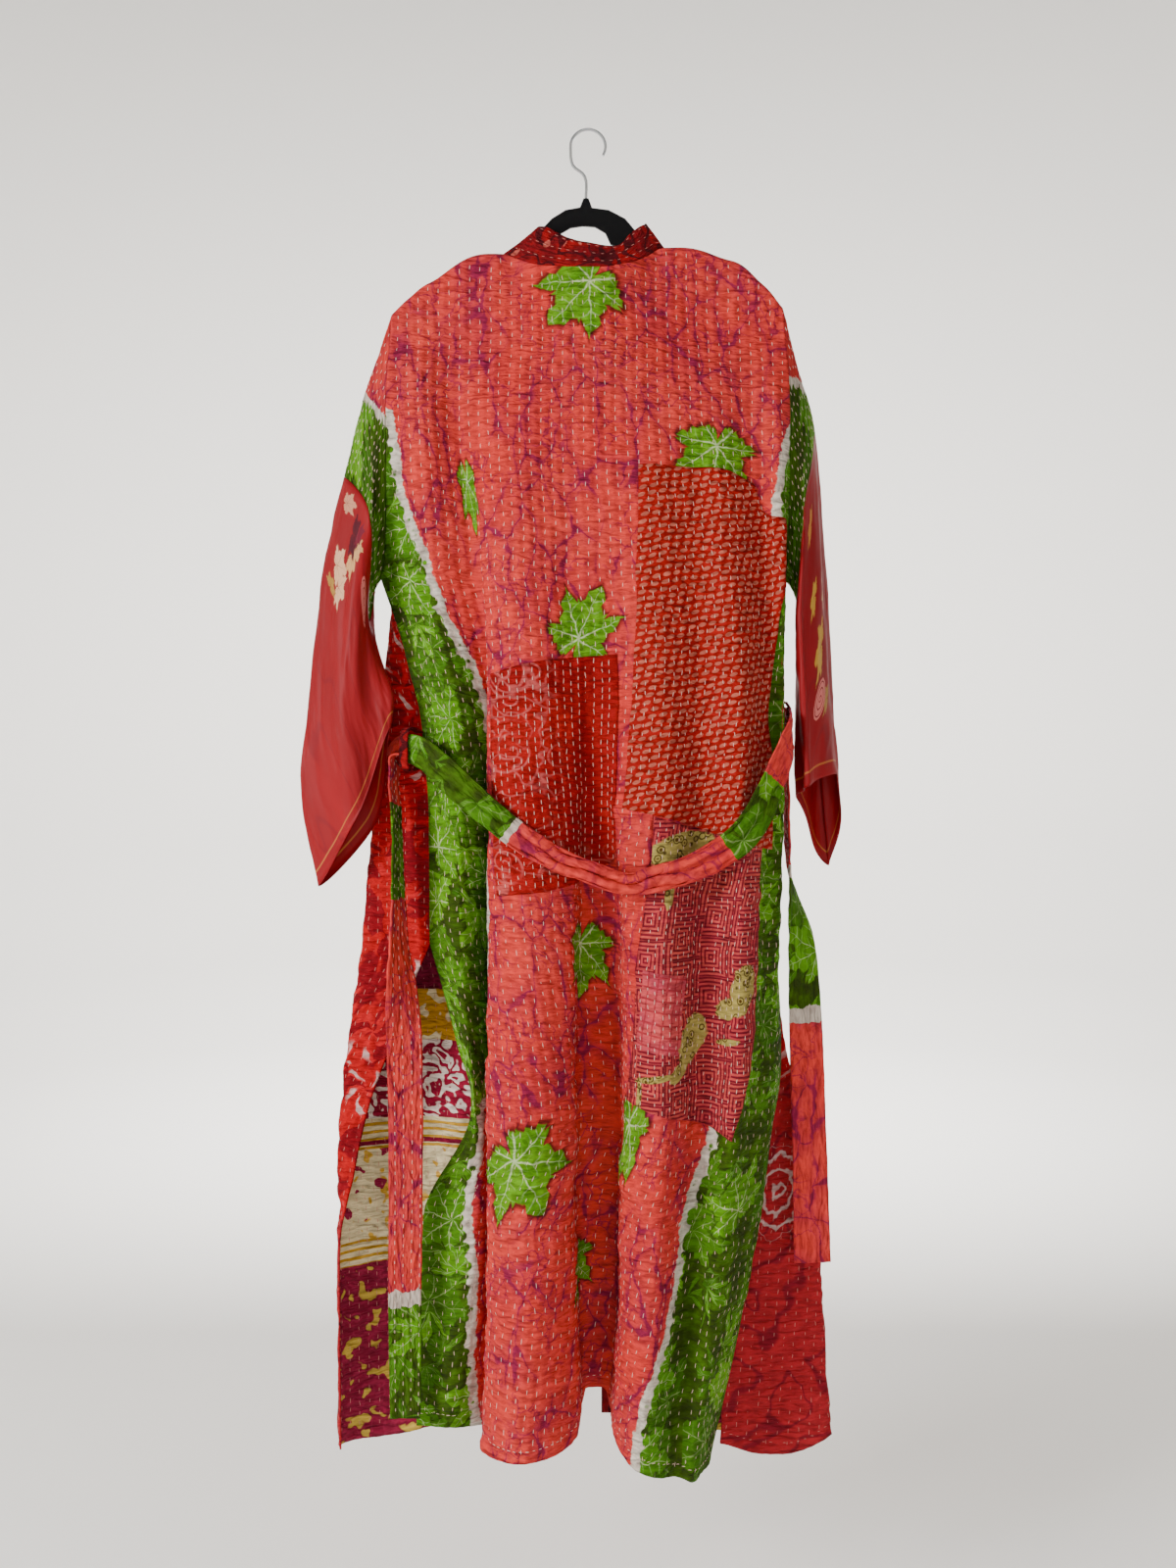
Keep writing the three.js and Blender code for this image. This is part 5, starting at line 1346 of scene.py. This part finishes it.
middles = curve_through(np.array([b[0] for b in BELT], float), per=BELT_ALONG)
acrosses = curve_through(np.array([b[1] for b in BELT], float), per=BELT_ALONG, power=0)
place = np.arange(len(middles)) / BELT_ALONG
widths = np.interp(place, np.arange(len(BELT)), [b[2] for b in BELT])
crumple = smooth(*BELT_CRUMPLE, place)
belt, belt_points, belt_outs = strip_cloth("belt_cloth", middles, acrosses, widths * (1 - 0.05 * crumple),
                                           QUILT_THICK, [belt_print()], 16, 51, 0.5, 0.8, crumple)
give(belt, "place", np.broadcast_to(place[None], belt_points.shape[:2]))

loops = {}
for name, (start, way, stand, tall) in LOOPS.items():
    half = tall / 2
    outline = [(0, half - 4), (stand * 0.5, half), (stand - 4, half - 1), (stand, half - 8), (stand + 1, 0),
               (stand, 8 - half), (stand - 4, 1 - half), (stand * 0.5, -half), (0, 4 - half)]
    middles = np.array([(start[0] + r * way[0], start[1] + r * way[1], start[2] + z) for r, z in outline])
    line = curve_through(middles, per=5)
    across = np.broadcast_to(np.array([-way[1], way[0], 0.0]), line.shape)
    widths = np.full(len(line), LOOP_WIDTH)
    loops[name] = strip_cloth(name + "_cloth", line, across, widths, LOOP_THICK, [band_cloth], 4, 60)[0]

# The other rows of stitches
sets = [panel_stitches(back_panel, 5, outside=tuple(PATCHES)), hem_stitches(back_panel, 9)]
back_thread = sew_stitches("back_thread", thread_tree, sets)
front_threads = {}
for side in SIDES:
    panel = front_panels[side]
    sets = [panel_stitches(panel, 31), hem_stitches(panel, 33)]
    if side == "left":
        sets.append(panel_stitches(panel, 37, side=-1, cut=(0, 0.7)))
    front_threads[side] = sew_stitches(f"front_{side}_thread", rosy_tree, sets)
band_thread = sew_stitches("neck_band_thread", rosy_tree, [grid_stitches(band_points, band_outs, 43, 10.0)])
belt_thread = sew_stitches("belt_thread", thread_tree, [grid_stitches(belt_points, belt_outs, 47, 11.0)])

# Hanger and hook keep their solid shapes with a flocked and a metal finish
flock = Paint("black flock", 1.0)
flock.colour("#060607")
flock.shader.inputs["Sheen Weight"].default_value = 0.1
flock.bump(flock.noise(flock.node("ShaderNodeTexCoord", out="Object"), 900, 2.0), 0.3, 0.0006)
steel = Paint("hook steel", 0.24)
steel.colour("#b4b7bb")
steel.shader.inputs["Metallic"].default_value = 1.0
for name, paint in (("hanger", flock), ("hanger_hook", steel)):
    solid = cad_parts[name]
    solid.data.materials.clear()
    solid.data.materials.append(paint.material)
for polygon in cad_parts["hanger_hook"].data.polygons:
    polygon.use_smooth = True

# What each piece stands for: its node, slot, flat size in metres and thread
cloths = [
    (back, "back", "coral_cloth", (0.62, 1.33), back_thread),
    *((fronts[side], f"front_{side}", "coral_cloth", (0.24, 1.34), front_threads[side]) for side in SIDES),
    (band, "neck_band", "deep_red_cloth", (2.95, 0.06), band_thread),
    *((caps[side], f"sleeve_cap_{side}", "green_cloth", (0.55, 0.05), cap_threads[side]) for side in SIDES),
    *((ends[side], f"sleeve_end_{side}", "red_silk", (0.34, 0.22), None) for side in SIDES),
    *((patches[name], name, p["slot"], p["flat"], patch_threads[name]) for name, p in PATCHES.items()),
    (belt, "belt", "coral_cloth", (0.04, 1.9), belt_thread),
    (loops["belt_loop_left"], "belt_loop_left", "coral_cloth", (0.012, 0.11), None),
    (loops["belt_loop_right"], "belt_loop_right", "coral_cloth", (0.012, 0.075), None),
]
for piece, node_name, slot_name, flat_size, sewn in cloths:
    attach(piece, "root")
    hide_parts(node_name)
    if sewn:
        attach(sewn, "root")

# Floor, light and camera
STUDIO_PROFILE = [(0, -1.8), (3.6, -1.8), (4.6, -1.62), (5.3, -1.1), (5.6, -0.3), (5.6, 5.0)]
STUDIO_SIDES = 96
turns = [2 * math.pi * k / STUDIO_SIDES for k in range(STUDIO_SIDES)]
verts = [(r * math.cos(turn), r * math.sin(turn), z) for r, z in STUDIO_PROFILE for turn in turns]
faces = []
for row in range(len(STUDIO_PROFILE) - 1):
    low, high = row * STUDIO_SIDES, (row + 1) * STUDIO_SIDES
    for k in range(STUDIO_SIDES):
        after = (k + 1) % STUDIO_SIDES
        faces.append((low + k, low + after, high + after, high + k))
studio_mesh = bpy.data.meshes.new("studio")
studio_mesh.from_pydata(verts, [], faces)
studio_mesh.polygons.foreach_set("use_smooth", np.ones(len(faces), bool))
studio_mesh.materials.append(Paint("pale studio", 0.95).colour("#f2efea").material)
studio = bpy.data.objects.new("studio", studio_mesh)
bpy.context.collection.objects.link(studio)

world = bpy.data.worlds.new("studio air")
bpy.context.scene.world = world
world.use_nodes = True
air = world.node_tree.nodes["Background"]
air.inputs["Color"].default_value = (0.95, 0.97, 1.0, 1.0)
air.inputs["Strength"].default_value = 0.42


def lamp(name, place, aim, size, watts):
    """Square lamp at a place, turned toward a point."""
    light = bpy.data.lights.new(name, "AREA")
    light.size = size
    light.energy = watts
    holder = bpy.data.objects.new(name, light)
    holder.location = place
    holder.rotation_euler = (Vector(aim) - Vector(place)).to_track_quat("-Z", "Y").to_euler()
    bpy.context.collection.objects.link(holder)


lamp("key", (-2.2, -1.6, -0.15), (0, 0, -1.05), 0.8, 104)
lamp("fill", (0.5, -2.9, -1.6), (0, 0, -1.25), 2.0, 44)
lamp("far side", (0.6, 3.0, 1.2), (0, 0, -0.7), 2.2, 60)
lamp("wall", (0, 1.6, 0.6), (0, 5.6, -0.6), 2.5, 330)

# The photo's height and its lens in pixels; the camera stands level, in front of the robe's middle
PHOTO_HEIGHT = 1600
PHOTO_LENS = 1202
SENSOR = 36.0
CAMERA_PLACE = (0.0, -1.362, -0.755)
camera = bpy.data.objects.new("camera", bpy.data.cameras.new("camera"))
camera.data.sensor_fit = "VERTICAL"
camera.data.sensor_height = SENSOR
camera.data.lens = SENSOR * PHOTO_LENS / PHOTO_HEIGHT
camera.data.clip_start = 0.05
camera.location = CAMERA_PLACE
camera.rotation_euler = (math.pi / 2, 0.0, 0.0)
bpy.context.collection.objects.link(camera)
bpy.context.scene.camera = camera
